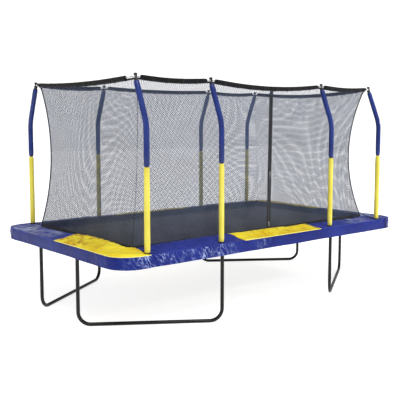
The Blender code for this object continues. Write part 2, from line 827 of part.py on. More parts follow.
def main():
    clear_scene()
    make_corners()
    make_poles()
    make_top_ring("top_ring")
    make_mat("jumping_mat")
    make_springs("springs")
    make_soft_parts()
    make_zip_tape("door_zip")
    make_slider("zip_slider_upper", ZIP_UPPER_Z)
    make_slider("zip_slider_lower", ZIP_LOWER_Z)


main()
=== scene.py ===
"""Looks of the rectangular trampoline: steel, padded sleeves, pads, mat and net.

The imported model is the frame, and every piece here is placed from it. All sizes
are in metres: +X along the long side, +Y to the back, +Z up.
"""

import math
from functools import partial

import bpy
import numpy as np
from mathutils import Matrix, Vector, noise


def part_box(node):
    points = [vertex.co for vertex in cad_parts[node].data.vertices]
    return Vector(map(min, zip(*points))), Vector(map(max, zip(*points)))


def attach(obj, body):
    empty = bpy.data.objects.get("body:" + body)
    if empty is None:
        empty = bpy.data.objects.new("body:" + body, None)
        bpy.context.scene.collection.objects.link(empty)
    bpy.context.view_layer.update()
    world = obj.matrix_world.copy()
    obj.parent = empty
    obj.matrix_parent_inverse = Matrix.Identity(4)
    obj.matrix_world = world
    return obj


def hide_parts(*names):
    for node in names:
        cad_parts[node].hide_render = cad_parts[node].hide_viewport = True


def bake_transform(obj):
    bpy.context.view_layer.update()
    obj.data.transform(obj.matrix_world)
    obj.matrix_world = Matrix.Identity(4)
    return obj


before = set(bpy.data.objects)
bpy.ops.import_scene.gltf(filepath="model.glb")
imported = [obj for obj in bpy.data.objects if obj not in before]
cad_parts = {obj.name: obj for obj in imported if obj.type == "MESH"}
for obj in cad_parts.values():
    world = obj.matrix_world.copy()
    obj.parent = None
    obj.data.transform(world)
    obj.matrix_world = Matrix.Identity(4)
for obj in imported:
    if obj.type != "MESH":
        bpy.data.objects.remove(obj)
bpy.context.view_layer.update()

UP = Vector((0.0, 0.0, 1.0))
X_AXIS = Vector((1.0, 0.0, 0.0))
Y_AXIS = Vector((0.0, 1.0, 0.0))
FRAME_BODY = "frame"
MAT_BODY = "mat"

# ---- sizes read from the frame ------------------------------------------


def box_of(node):
    low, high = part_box(node)
    return Vector(low), Vector(high)


def middle(node):
    low, high = box_of(node)
    return (low + high) / 2


FRAME_TUBE = 0.050
FRAME_Y = -box_of("frame_rail_front_right")[0].y - FRAME_TUBE / 2
FRAME_X = box_of("frame_corner_front_right")[1].x - FRAME_TUBE / 2
LEG_TUBE = 0.042
LEG_TOP = box_of("leg_post_front_left_end")[1].z
LEG_SEAM = box_of("leg_post_front_left_end")[0].z
FRAME_TOP = LEG_TOP + FRAME_TUBE
FRAME_Z = FRAME_TOP - FRAME_TUBE / 2
FRAME_BEND = 0.24
LEG_BEND = 0.14
CORNER_ARM_X = box_of("frame_corner_front_right")[0].x

POLE_NUMBERS = (1, 2, 3, 4)
FACES = (("front", -1), ("back", 1))
ENDS = (("left", -1), ("right", 1))
CORNERS = [(face, end, side_x, side_y) for end, side_x in ENDS for face, side_y in FACES]
POLE_XS = [middle(f"pole_front_{number}").x for number in POLE_NUMBERS]
POLE_X = abs(POLE_XS[0])      # the corner poles, which are also where the end pads start
POLE_RADIUS = 0.019
POLE_Y = -box_of("sleeve_lower_front_1")[0].y - 0.031
POLE_FOOT_Z = box_of("pole_front_1")[0].z
POLE_BEND_Z = 2.247           # where the upright and the leaning run would cross
POLE_BEND = 0.45
POLE_TIP_Y = 1.1415
POLE_TIP_Z = 2.714
POLE_LEAN = math.atan2(POLE_Y - POLE_TIP_Y, POLE_TIP_Z - POLE_BEND_Z)
TIP_DISTANCE = math.hypot(POLE_Y - POLE_TIP_Y, POLE_TIP_Z - POLE_BEND_Z)
SLEEVE_RADIUS = 0.031
SLEEVE_FOOT_Z = box_of("sleeve_lower_front_1")[0].z
SLEEVE_JOIN_LOW = box_of("sleeve_lower_front_1")[1].z
SLEEVE_JOIN_HIGH = box_of("sleeve_upper_front_1")[0].z
SLEEVE_TO_TIP = 0.040
CAP_LENGTH = 0.032

RING_Z = 2.728
RING_ROD = 0.0045
RING_FOAM = 0.023
RING_BARE = 0.065
RING_BARE_LONG = 0.190        # the left span's foam has slid away from the near pole
RING_SAG_DOOR = 0.058
RING_SAG_LEFT = 0.035
RING_SAG_RIGHT = 0.065
RING_SAG = 0.025

MAT_HIGH = box_of("jumping_mat")[1]
MAT_X, MAT_Y, MAT_TOP = MAT_HIGH.x, MAT_HIGH.y, MAT_HIGH.z
MAT_CHAMFER = 0.050

PAD_LOW, PAD_HIGH = box_of("pad_right")
PAD_X, PAD_Y = PAD_HIGH.x, PAD_HIGH.y
PAD_NET_GAP = 0.002
PAD_CORNER = 0.27
PAD_INNER_CORNER = 0.03
PAD_TOP = 0.914
SKIRT_BOTTOM = PAD_LOW.z

NET_FOOT_X, NET_FOOT_Y, NET_FOOT_Z = 1.965, 1.073, 0.874
NET_TOP_X, NET_TOP_Y = 1.900, 1.100
NET_BELOW_RING = 0.024
NET_PULL = {-1: 0.098, 1: 0.142}       # how far the left and right corners bow in
PAD_INNER_X = NET_FOOT_X + PAD_NET_GAP
PAD_INNER_Y = NET_FOOT_Y + PAD_NET_GAP

ZIP_X = middle("door_zip").x


# ---- mesh helpers -------------------------------------------------------

def make_piece(name, verts, faces, materials, smooth=True, sharp=None):
    """A mesh object; `materials` is one material or a list."""
    mesh = bpy.data.meshes.new(name)
    mesh.from_pydata([tuple(vert) for vert in verts], [], faces)
    mesh.update()
    for material in materials if isinstance(materials, list) else [materials]:
        mesh.materials.append(material)
    if smooth:
        mesh.shade_smooth()
    if sharp:
        mesh.set_sharp_from_angle(angle=math.radians(sharp))
    piece = bpy.data.objects.new(name, mesh)
    bpy.context.scene.collection.objects.link(piece)
    return piece


class Shape:
    """Vertices and faces collected from several simple bodies."""

    def __init__(self):
        self.verts = []
        self.faces = []

    def add(self, verts, faces):
        start = len(self.verts)
        self.verts += [Vector(vert) for vert in verts]
        self.faces += [tuple(index + start for index in face) for face in faces]

    def piece(self, name, materials, **options):
        return make_piece(name, self.verts, self.faces, materials, **options)


def path_tangents(path, closed=False):
    count = len(path)
    result = []
    for index in range(count):
        before = path[index - 1] if closed or index > 0 else path[index]
        after = path[(index + 1) % count] if closed or index < count - 1 else path[index]
        result.append((after - before).normalized())
    return result


def cross_axes(axis, reference):
    """Two directions across an axis, the first as near the reference as can be."""
    side = (reference - axis * reference.dot(axis)).normalized()
    return side, axis.cross(side)


def circle(centre, side, other, radius, steps):
    """Points round a centre; radius is a number, or a function of the angle."""
    points = []
    for step in range(steps):
        angle = 2 * math.pi * step / steps
        size = radius(angle) if callable(radius) else radius
        points.append(centre + (side * math.cos(angle) + other * math.sin(angle)) * size)
    return points


def ring_faces(rings, sides, closed=False):
    """Faces between rings of points; an open run has a cap at each end."""
    faces = []
    for ring in range(rings if closed else rings - 1):
        after = (ring + 1) % rings
        for step in range(sides):
            turn = (step + 1) % sides
            faces.append((ring * sides + step, ring * sides + turn,
                          after * sides + turn, after * sides + step))
    if not closed:
        faces.append(tuple(reversed(range(sides))))
        faces.append(tuple(range((rings - 1) * sides, rings * sides)))
    return faces


def sweep(path, radius, sides, reference=UP, closed=False):
    """Rings along a path; radius is a number, or a function of ring and angle."""
    verts = []
    for ring, (point, tangent) in enumerate(zip(path, path_tangents(path, closed))):
        size = partial(radius, ring) if callable(radius) else radius
        verts += circle(point, *cross_axes(tangent, reference), size, sides)
    return verts, ring_faces(len(path), sides, closed)


def arc(centre, start, end, angle, steps):
    return [
        centre + start * math.cos(angle * step / steps) + end * math.sin(angle * step / steps)
        for step in range(steps + 1)
    ]


def lathe(profile, foot, axis, reference, sides=24):
    """A turned body; profile is (distance along the axis, radius)."""
    verts = []
    for along, radius in profile:
        verts += circle(foot + axis * along, *cross_axes(axis, reference), radius, sides)
    return verts, ring_faces(len(profile), sides)


def box_body(centre, axes, sizes):
    """A block from its centre, three unit axes and three full sizes."""
    verts = []
    for corner in range(8):
        point = Vector(centre)
        for bit, (axis, size) in enumerate(zip(axes, sizes)):
            point = point + Vector(axis) * (size / 2 if corner >> bit & 1 else -size / 2)
        verts.append(point)
    faces = [(0, 2, 3, 1), (4, 5, 7, 6), (0, 1, 5, 4), (2, 6, 7, 3), (0, 4, 6, 2), (1, 3, 7, 5)]
    return verts, faces


def grid_faces(rows, columns, closed=False):
    """Faces of a grid; a closed one also joins its last column to its first."""
    faces = []
    for row in range(rows - 1):
        for column in range(columns if closed else columns - 1):
            after = (column + 1) % columns
            faces.append((row * columns + column, row * columns + after,
                          (row + 1) * columns + after, (row + 1) * columns + column))
    return faces


def sheet_faces(rows, columns):
    """Faces of a thin sheet: a grid, the same grid behind it and the rim between."""
    front = grid_faces(rows, columns)
    size = rows * columns
    back = [tuple(reversed([index + size for index in face])) for face in front]
    rim = list(range(columns))
    rim += [row * columns + columns - 1 for row in range(1, rows)]
    rim += [(rows - 1) * columns + column for column in range(columns - 2, -1, -1)]
    rim += [row * columns for row in range(rows - 2, 0, -1)]
    edges = [(here, before, before + size, here + size)
             for here, before in zip(rim, rim[-1:] + rim[:-1])]
    return front + back + edges


def fasten(piece, body, slot, *nodes):
    """Attach a piece to its body and hide the CAD nodes that it stands for; the slot is not used."""
    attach(piece, body)
    if nodes:
        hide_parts(*nodes)


def on_frame(piece, slot, *nodes):
    fasten(piece, FRAME_BODY, slot, *nodes)


def on_mat(piece, slot, *nodes):
    fasten(piece, MAT_BODY, slot, *nodes)


# ---- material helpers ---------------------------------------------------

PVC_SCRIM = 0.0016
MAT_YARN = 0.0036
NET_PITCH = 0.026
NET_THREAD_EDGE = 0.75        # stripes above this height are thread
NET_OPEN_ALPHA = 0.12
NET_THREAD_ALPHA = 0.91


class Look:
    """A Principled material and short ways to build its nodes."""

    def __init__(self, name, **constants):
        self.material = bpy.data.materials.new(name)
        self.material.use_nodes = True
        self.tree = self.material.node_tree
        self.shader = self.tree.nodes["Principled BSDF"]
        for socket, value in constants.items():
            self.shader.inputs[socket.replace("_", " ")].default_value = value
        self.coordinates = self.tree.nodes.new("ShaderNodeTexCoord").outputs["Object"]

    def node(self, kind, inputs=None, **settings):
        node = self.tree.nodes.new(kind)
        for key, value in settings.items():
            setattr(node, key, value)
        for key, value in (inputs or {}).items():
            socket = node.inputs[key]
            if isinstance(value, bpy.types.NodeSocket):
                self.tree.links.new(value, socket)
            else:
                socket.default_value = value
        return node

    def math(self, operation, first, second=0.0, third=None):
        inputs = {0: first, 1: second}
        if third is not None:
            inputs[2] = third
        return self.node("ShaderNodeMath", inputs, operation=operation).outputs[0]

    def noise(self, scale, detail=3.0, roughness=0.5, where=None):
        inputs = {"Vector": where or self.coordinates, "Scale": scale, "Detail": detail,
                  "Roughness": roughness}
        return self.node("ShaderNodeTexNoise", inputs).outputs["Fac"]

    def ramp(self, factor, stops):
        node = self.node("ShaderNodeValToRGB", {"Fac": factor})
        elements = node.color_ramp.elements
        while len(elements) < len(stops):
            elements.new(0.5)
        for element, (position, colour) in zip(elements, stops):
            element.position = position
            element.color = (*colour, 1.0)
        return node.outputs["Color"]

    def spread(self, factor, low, high):
        """Map a 0 to 1 factor to the range low to high."""
        inputs = {"Value": factor, "To Min": low, "To Max": high}
        return self.node("ShaderNodeMapRange", inputs).outputs["Result"]

    def axis(self, index):
        parts = self.node("ShaderNodeSeparateXYZ", {"Vector": self.coordinates})
        return parts.outputs[index]

    def stripes(self, value, pitch):
        """0 to 1 and back over each pitch of a coordinate."""
        scaled = self.math("DIVIDE", value, pitch)
        return self.math("MULTIPLY", self.math("PINGPONG", scaled, 0.5), 2.0)

    def weave(self, pitch):
        """Height of a plain weave along the object's own axes."""
        first = self.stripes(self.math("ADD", self.axis(0), self.axis(1)), pitch)
        second = self.stripes(self.axis(2), pitch)
        third = self.stripes(self.math("SUBTRACT", self.axis(0), self.axis(1)), pitch)
        return self.math("MULTIPLY", self.math("MAXIMUM", first, third), second)

    def bump(self, height, strength, distance, before=None):
        inputs = {"Height": height, "Strength": strength, "Distance": distance}
        if before:
            inputs["Normal"] = before
        return self.node("ShaderNodeBump", inputs).outputs["Normal"]

    def nearness(self, places):
        """1 at each (x, y, reach) place on the pads, falling to 0 at its reach."""
        near = 0.0
        for x, y, reach in places:
            inputs = {0: self.coordinates, 1: (x, y, PAD_TOP)}
            away = self.node("ShaderNodeVectorMath", inputs, operation="DISTANCE").outputs["Value"]
            share = self.math("MULTIPLY_ADD", away, -1.0 / reach, 1.0)
            near = self.math("MAXIMUM", near, share)
        return near

    def marks(self, across, along, places, scale=8.5, sharpness=23.0):
        """Thin creases running one way, strongest at the given (x, y, reach) places."""
        near = self.nearness(places)
        turned = [self.node("ShaderNodeVectorMath", {0: self.coordinates, 1: direction},
                            operation="DOT_PRODUCT").outputs["Value"]
                  for direction in (across, along)]
        inputs = {0: turned[0], 1: turned[1], 2: 0.0}
        where = self.node("ShaderNodeCombineXYZ", inputs).outputs[0]
        lines = self.noise(scale, 2.5, 0.6, where)
        away = self.math("ABSOLUTE", self.math("SUBTRACT", lines, 0.5))
        ridge = self.math("MAXIMUM", self.math("MULTIPLY_ADD", away, -sharpness, 1.0), 0.0)
        broken = self.spread(self.noise(9.0, 2.0, 0.5), -1.6, 3.0)
        share = self.math("MULTIPLY", self.math("MULTIPLY", ridge, broken), near)
        return self.math("MINIMUM", self.math("MAXIMUM", share, 0.0), 1.0)

    def mix(self, share, first, second):
        inputs = {"Fac": share, "Color1": first, "Color2": (*second, 1.0)}
        return self.node("ShaderNodeMixRGB", inputs).outputs["Color"]

    def set(self, socket, value):
        self.tree.links.new(value, self.shader.inputs[socket])


def painted_steel(name, colour):
    """Satin powder coat: orange peel, faint dust and scuffs."""
    look = Look(name, Metallic=0.0, Specular_IOR_Level=0.28)
    patches = look.noise(9.0, 5.0)
    deep = tuple(part * 0.7 for part in colour)
    pale = tuple(part * 1.5 + 0.002 for part in colour)
    look.set("Base Color", look.ramp(patches, [(0.35, deep), (0.75, pale)]))
    look.set("Roughness", look.spread(look.noise(60.0, 4.0), 0.22, 0.42))
    look.set("Normal", look.bump(look.noise(900.0, 2.0), 0.25, 0.0004))
    return look.material


def vinyl(name, deep, plain, pale, roughness=(0.30, 0.50), gloss=0.15, crumple=0.22, shine=0.10,
          wear_and_painted_light=None):
    """Coated PVC cloth: creases, a fine scrim under the gloss, faded patches.

    The last argument lists marks of painted light mixed into the colour, pale painted highlights and
    reflections and dark painted shade in creases: tint, strength, then what Look.marks takes.
    """
    look = Look(name, Coat_Weight=gloss, Coat_Roughness=0.06, Specular_IOR_Level=shine)
    patches = look.noise(3.0, 4.0, 0.5)
    colour = look.ramp(patches, [(0.22, deep), (0.50, plain), (0.80, pale)])
    creased = 0.0
    # mix in the painted light: pale painted highlights and reflections, dark painted shade in creases
    for tint, strength, *marks in wear_and_painted_light or ():
        share = look.math("MULTIPLY", look.marks(*marks), strength)
        colour = look.mix(share, colour, tint)
        creased = look.math("ADD", creased, share)
    look.set("Base Color", colour)
    rubbed = look.noise(22.0, 5.0, 0.65)
    look.set("Roughness", look.spread(rubbed, *roughness))
    cells = look.node("ShaderNodeTexVoronoi", {"Vector": look.coordinates, "Scale": 9.0},
                      feature="DISTANCE_TO_EDGE")
    ridges = look.math("MINIMUM", cells.outputs["Distance"], 0.12)
    creases = look.math("ADD", look.noise(5.0, 2.0, 0.5), look.math("MULTIPLY", ridges, 2.0))
    creases = look.math("ADD", creases, look.math("MULTIPLY", creased, 0.5))
    folded = look.bump(creases, crumple, 0.012)
    look.set("Normal", look.bump(look.weave(PVC_SCRIM), 0.06, 0.0003, folded))
    return look.material


def black_fabric(name, colour, pitch=0.0020):
    """Black woven cover: weave, lint and a soft sheen."""
    look = Look(name, Sheen_Weight=0.06, Sheen_Roughness=0.5, Specular_IOR_Level=0.12)
    deep = tuple(part * 0.6 for part in colour)
    pale = tuple(part * 1.7 for part in colour)
    look.set("Base Color", look.ramp(look.noise(40.0, 5.0), [(0.3, deep), (0.7, pale)]))
    look.set("Roughness", look.spread(look.noise(90.0, 3.0), 0.62, 0.85))
    look.set("Normal", look.bump(look.weave(pitch), 0.5, 0.0006))
    return look.material


def mat_weave(name):
    """Woven polypropylene: square weave, slight sheen, trodden patches."""
    look = Look(name, Specular_IOR_Level=0.06)
    wear_and_painted_light = look.noise(1.6, 5.0, 0.6)
    colour = look.ramp(wear_and_painted_light, [(0.30, (0.050, 0.046, 0.044)), (0.55, (0.064, 0.059, 0.056)),
                              (0.75, (0.080, 0.074, 0.070))])
    across = look.stripes(look.axis(0), MAT_YARN)
    along = look.stripes(look.axis(1), MAT_YARN)
    yarn = look.math("MAXIMUM", across, along)
    look.set("Base Color", colour)
    look.set("Roughness", look.spread(look.noise(30.0, 4.0), 0.60, 0.85))
    look.set("Normal", look.bump(yarn, 0.45, 0.0006))
    return look.material


def net_mesh(name):
    """Knitted net: threads on two diagonals, seen through between them."""
    look = Look(name, Roughness=0.85, Specular_IOR_Level=0.0)
    level = look.math("ADD", look.axis(0), look.axis(1))
    rising = look.stripes(look.math("ADD", level, look.axis(2)), NET_PITCH)
    falling = look.stripes(look.math("SUBTRACT", level, look.axis(2)), NET_PITCH)
    threads = look.math("GREATER_THAN", look.math("MAXIMUM", rising, falling), NET_THREAD_EDGE)
    look.set("Alpha", look.spread(threads, NET_OPEN_ALPHA, NET_THREAD_ALPHA))
    tint = look.noise(2.4, 3.0, 0.6)
    look.set("Base Color", look.ramp(tint, [(0.32, (0.052, 0.066, 0.108)),
                                            (0.68, (0.094, 0.114, 0.170))]))
    return look.material


def zinc_steel(name):
    look = Look(name, Metallic=1.0)
    look.set("Base Color", look.ramp(look.noise(80.0, 4.0), [(0.3, (0.42, 0.43, 0.45)),
                                                             (0.7, (0.66, 0.67, 0.69))]))
    look.set("Roughness", look.spread(look.noise(200.0, 3.0), 0.22, 0.45))
    look.set("Normal", look.bump(look.noise(1200.0, 2.0), 0.15, 0.0002))
    return look.material


def moulded_plastic(name, colour):
    look = Look(name, Specular_IOR_Level=0.45)
    pale = tuple(min(1.0, part * 1.35 + 0.004) for part in colour)
    look.set("Base Color", look.ramp(look.noise(55.0, 3.0), [(0.35, colour), (0.75, pale)]))
    look.set("Roughness", look.spread(look.noise(140.0, 3.0), 0.35, 0.55))
    look.set("Normal", look.bump(look.noise(700.0, 2.0), 0.2, 0.0003))
    return look.material


FRAME_PAINT = painted_steel("frame_paint_look", (0.012, 0.012, 0.014))
# the legs' copy of the black paint is darker than the frame's: painted shade for the legs under the
# trampoline
LEG_PAINT_SHADED = painted_steel("leg_paint_shaded_look", (0.003, 0.003, 0.0035))
POLE_PAINT = painted_steel("pole_paint_look", (0.010, 0.010, 0.012))
# (across, along) of the creases, scaled so that they are long and thin
LENGTHWAYS = ((2.6, 0.3, 0.0), (-0.1, 0.8, 0.0))
CROSSWAYS = ((2.4, 0.0, 0.0), (0.0, 0.9, 0.0))
SLANTING = ((2.2, 0.6, 1.5), (0.5, 0.3, -0.6))
# (x, y, reach) of the places where the covers are creased, with light painted along the creases: pale
# painted glare on the blue corners, dark painted shade in the yellow creases, pale painted highlights on
# the skirts
CORNER_PAINTED_GLARE = ((-2.15, 0.95, 0.50), (-2.15, 0.45, 0.35), (2.10, -0.75, 0.55), (1.55, -1.2, 0.3))
LEFT_END_CREASE_SHADE = ((-2.05, -0.30, 0.70),)
FRONT_CREASE_SHADE = ((0.0, -1.10, 0.60),)
SKIRT_PAINTED_GLINTS = ((-1.85, -1.4, 0.48), (-1.25, -1.4, 0.34), (-0.95, -1.4, 0.30),
                 (-0.35, -1.4, 0.16), (2.2, 1.3, 0.4))
# the blue covers' pale marks near the corners are painted glare, a reflection painted into the colour
BLUE_PVC = vinyl("blue_pvc_look", (0.008, 0.016, 0.15), (0.013, 0.024, 0.21), (0.024, 0.042, 0.30),
                 wear_and_painted_light=[((0.32, 0.36, 0.50), 0.72, *SLANTING, CORNER_PAINTED_GLARE, 3.0, 4.5)])
# the yellow covers' dark ochre lines are painted shade in their creases
YELLOW_PVC = vinyl("yellow_pvc_look", (0.62, 0.36, 0.002), (0.76, 0.60, 0.022), (0.85, 0.74, 0.050),
                   gloss=0.12, crumple=0.40,
                   wear_and_painted_light=[((0.34, 0.14, 0.002), 1.3, *LENGTHWAYS, LEFT_END_CREASE_SHADE, 7.0, 11.0),
                         ((0.42, 0.20, 0.002), 1.0, *CROSSWAYS, FRONT_CREASE_SHADE, 7.0, 12.0)])
PALE_PIPING = vinyl("pale_piping_look", (0.86, 0.74, 0.10), (0.92, 0.82, 0.16), (0.95, 0.88, 0.26))
BLUE_PIPING = vinyl("blue_piping_look", (0.010, 0.020, 0.20), (0.015, 0.030, 0.26), (0.03, 0.05, 0.33))
YELLOW_SLEEVE = vinyl("yellow_sleeve_look", (0.64, 0.53, 0.060), (0.73, 0.64, 0.095), (0.79, 0.72, 0.15),
                      roughness=(0.40, 0.55), gloss=0.10)
BLUE_SLEEVE = vinyl("blue_sleeve_look", (0.007, 0.016, 0.11), (0.011, 0.026, 0.16), (0.020, 0.044, 0.23),
                    roughness=(0.40, 0.55), gloss=0.45, crumple=0.42)
BLACK_COVER = black_fabric("black_cover_look", (0.004, 0.004, 0.0045))
BLACK_WEBBING = black_fabric("black_webbing_look", (0.016, 0.016, 0.018), pitch=0.003)
MAT_LOOK = mat_weave("mat_look")
NET_LOOK = net_mesh("net_look")
HEM_LOOK = black_fabric("net_hem_look", (0.020, 0.020, 0.023))
ZINC = zinc_steel("zinc_look")
BLACK_PLASTIC = moulded_plastic("black_plastic_look", (0.012, 0.012, 0.013))
GREY_PLASTIC = moulded_plastic("grey_plastic_look", (0.22, 0.22, 0.23))
STRAP_GREY = moulded_plastic("rod_look", (0.20, 0.20, 0.21))
# the skirts' pale streaks are painted highlights on their creases
BLUE_SKIRT = vinyl("blue_skirt_look", (0.005, 0.011, 0.12), (0.007, 0.016, 0.16), (0.014, 0.029, 0.22),
                   roughness=(0.34, 0.42), gloss=0.16, crumple=0.20, shine=0.05,
                   wear_and_painted_light=[((0.48, 0.60, 0.92), 0.72, *SLANTING, SKIRT_PAINTED_GLINTS)])
BLUE_THREAD = black_fabric("blue_thread_look", (0.05, 0.07, 0.30), pitch=0.001)
ZIP_THREAD = black_fabric("thread_look", (0.04, 0.04, 0.045), pitch=0.001)
ZIP_COIL = moulded_plastic("zip_coil_look", (0.020, 0.020, 0.022))
OPEN_COIL = moulded_plastic("open_coil_look", (0.16, 0.16, 0.17))


# ---- steel frame and legs -----------------------------------------------

TUBE_SIDES = 28
BEND_STEPS = 10
WELD_RADIUS = 0.0035
# turned shapes are lists of (distance along the axis, radius)
SCREW_HEAD = [(-0.002, 0.0048), (0.0008, 0.0050), (0.0022, 0.0042), (0.0030, 0.0022)]
JOINT_SCREW = 0.030           # from a tube's end to its screw
HALF_SEAM = 0.0003            # half of the gap where two tubes meet


def weld_ring(shape, centre, axis, radius):
    """A bead of weld round a tube."""
    side = axis.orthogonal().normalized()
    path = circle(centre, side, axis.cross(side), radius, TUBE_SIDES)
    size = lambda ring, angle: WELD_RADIUS * (1.0 + 0.22 * math.sin(ring * 2.6))
    shape.add(*sweep(path, size, 6, axis, closed=True))


def screw(shape, place, out):
    """Low domed screw head on a tube."""
    shape.add(*lathe(SCREW_HEAD, place, out, out.orthogonal(), sides=12))


def corner_tube(side_x, side_y):
    radius = FRAME_BEND
    centre = Vector((side_x * (FRAME_X - radius), side_y * (FRAME_Y - radius), FRAME_Z))
    bend = arc(centre, Vector((0, side_y * radius, 0)), Vector((side_x * radius, 0, 0)),
               math.pi / 2, BEND_STEPS)
    start = Vector((side_x * CORNER_ARM_X, side_y * FRAME_Y, FRAME_Z))
    end = Vector((side_x * FRAME_X, side_y * HALF_SEAM, FRAME_Z))
    return [start, *bend, end]


def leg_feet(side_x, side_y):
    face = "front" if side_y < 0 else "back"
    end = "left" if side_x < 0 else "right"
    first = middle(f"leg_post_{face}_{end}_end")
    second = middle(f"leg_post_{face}_{end}_side")
    first.z = second.z = 0.0
    return first, second


def add_socket(shape, foot, spigot_place):
    """Weld beads where the leg post meets the frame tube below and where the pole stands on it above."""
    top = Vector((foot.x, foot.y, LEG_TOP))
    weld_ring(shape, top + UP * 0.004, UP, LEG_TUBE / 2 - 0.001)
    head = Vector((*spigot_place, FRAME_TOP))
    weld_ring(shape, head + UP * 0.001, UP, POLE_RADIUS)


def make_frame_corner(face, end, side_x, side_y):
    shape = Shape()
    shape.add(*sweep(corner_tube(side_x, side_y), FRAME_TUBE / 2, TUBE_SIDES))
    short_foot, _ = leg_feet(side_x, side_y)
    pole_x = side_x * POLE_X
    add_socket(shape, short_foot, (pole_x, side_y * POLE_Y))
    joint = Vector((side_x * (CORNER_ARM_X + JOINT_SCREW), side_y * FRAME_Y, FRAME_Z))
    screw(shape, joint - UP * (FRAME_TUBE / 2), -UP)
    piece = shape.piece(f"corner_tube_{face}_{end}", FRAME_PAINT, sharp=40)
    on_frame(piece, "frame_paint", f"frame_corner_{face}_{end}")


def make_frame_rail(face, end, side_x, side_y):
    shape = Shape()
    path = [Vector((side_x * x, side_y * FRAME_Y, FRAME_Z))
            for x in (HALF_SEAM, CORNER_ARM_X - HALF_SEAM)]
    shape.add(*sweep(path, FRAME_TUBE / 2, TUBE_SIDES))
    _, long_foot = leg_feet(side_x, side_y)
    add_socket(shape, long_foot, (long_foot.x, side_y * POLE_Y))
    for x in (JOINT_SCREW, CORNER_ARM_X - JOINT_SCREW):
        place = Vector((side_x * x, side_y * FRAME_Y, FRAME_Z - FRAME_TUBE / 2))
        screw(shape, place, -UP)
    piece = shape.piece(f"rail_tube_{face}_{end}", FRAME_PAINT, sharp=40)
    on_frame(piece, "frame_paint", f"frame_rail_{face}_{end}")


def make_leg(face, end, side_x, side_y):
    """The U of one corner: its ground piece and two posts."""
    first, second = leg_feet(side_x, side_y)
    along = (second - first).normalized()
    normal = along.cross(UP)
    radius = LEG_BEND
    floor = UP * (LEG_TUBE / 2)
    seam = UP * (LEG_SEAM - 0.0005)
    path = [
        first + seam,
        *arc(first + floor + (along + UP) * radius, -along * radius, -UP * radius,
             math.pi / 2, BEND_STEPS),
        *arc(second + floor + (UP - along) * radius, -UP * radius, along * radius,
             math.pi / 2, BEND_STEPS),
        second + seam,
    ]
    base = Shape()
    base.add(*sweep(path, LEG_TUBE / 2, TUBE_SIDES, normal))
    for foot in (first, second):
        weld_ring(base, foot + UP * (LEG_SEAM - 0.006), UP, LEG_TUBE / 2 - 0.0022)
    piece = base.piece(f"leg_ground_tube_{face}_{end}", LEG_PAINT_SHADED, sharp=40)
    on_frame(piece, "leg_paint", f"leg_base_{face}_{end}")
    make_leg_post(f"{face}_{end}_end", first, normal)
    make_leg_post(f"{face}_{end}_side", second, normal)


def make_leg_post(name, foot, normal):
    """Upright tube with a slight lip at its foot and a screw near each end."""
    post = Shape()
    low, high = foot + UP * LEG_SEAM, foot + UP * LEG_TOP
    flare = [low, low + UP * 0.003, low + UP * 0.006, high - UP * 0.004, high]
    sizes = [LEG_TUBE / 2 - 0.0006, LEG_TUBE / 2 + 0.0002] + [LEG_TUBE / 2] * 3
    post.add(*sweep(flare, lambda ring, angle: sizes[ring], TUBE_SIDES, normal))
    out = -normal if normal.dot(foot) < 0 else normal
    screw(post, low + UP * 0.028 + out * (LEG_TUBE / 2), out)
    screw(post, high - UP * 0.030 + out * (LEG_TUBE / 2), out)
    on_frame(post.piece(f"leg_tube_{name}", LEG_PAINT_SHADED, sharp=40), "leg_paint", f"leg_post_{name}")


# ---- poles, sleeves and caps --------------------------------------------

SEAM_LIFT = 0.0016
SLEEVE_CELL = 0.015
CAP_WALL = 0.0214
CAP_RIBS = 8
CAP_SHELL = [(-0.006, 0.0196), (-0.006, 0.0208), (0.002, CAP_WALL), (0.022, CAP_WALL),
             (0.028, 0.0198), (CAP_LENGTH - 0.001, 0.0160), (CAP_LENGTH - 0.0005, 0.0060)]
CAP_KNOB = [(-0.010, 0.012), (-0.002, 0.0190), (0.008, 0.0215), (0.016, 0.0170), (0.020, 0.006)]
CAP_HOOK_ROD = 0.0088
CAP_HOOK_REACH = RING_ROD + 0.0095


def leaning_point(x, side_y, distance):
    """A point of a pole's leaning run, at a distance from the bend's crossing."""
    y = POLE_Y - distance * math.sin(POLE_LEAN)
    return Vector((x, side_y * y, POLE_BEND_Z + distance * math.cos(POLE_LEAN)))


def lean_axis(side_y):
    return Vector((0.0, -side_y * math.sin(POLE_LEAN), math.cos(POLE_LEAN)))


def pole_line(x, side_y, foot_z, head_distance, spacing=0.02):
    """Evenly spaced points up a pole's centre line through its bend."""
    tangent_length = POLE_BEND * math.tan(POLE_LEAN / 2)
    bend_start = POLE_BEND_Z - tangent_length
    centre = Vector((x, side_y * (POLE_Y - POLE_BEND), bend_start))
    count = max(2, round((bend_start - foot_z) / spacing))
    points = [Vector((x, side_y * POLE_Y, foot_z + (bend_start - foot_z) * index / count))
              for index in range(count)]
    steps = max(4, round(POLE_BEND * POLE_LEAN / spacing))
    points += arc(centre, Vector((0, side_y * POLE_BEND, 0)), UP * POLE_BEND, POLE_LEAN, steps)
    length = head_distance - tangent_length
    count = max(2, round(length / spacing))
    points += [leaning_point(x, side_y, tangent_length + length * index / count)
               for index in range(1, count + 1)]
    return points


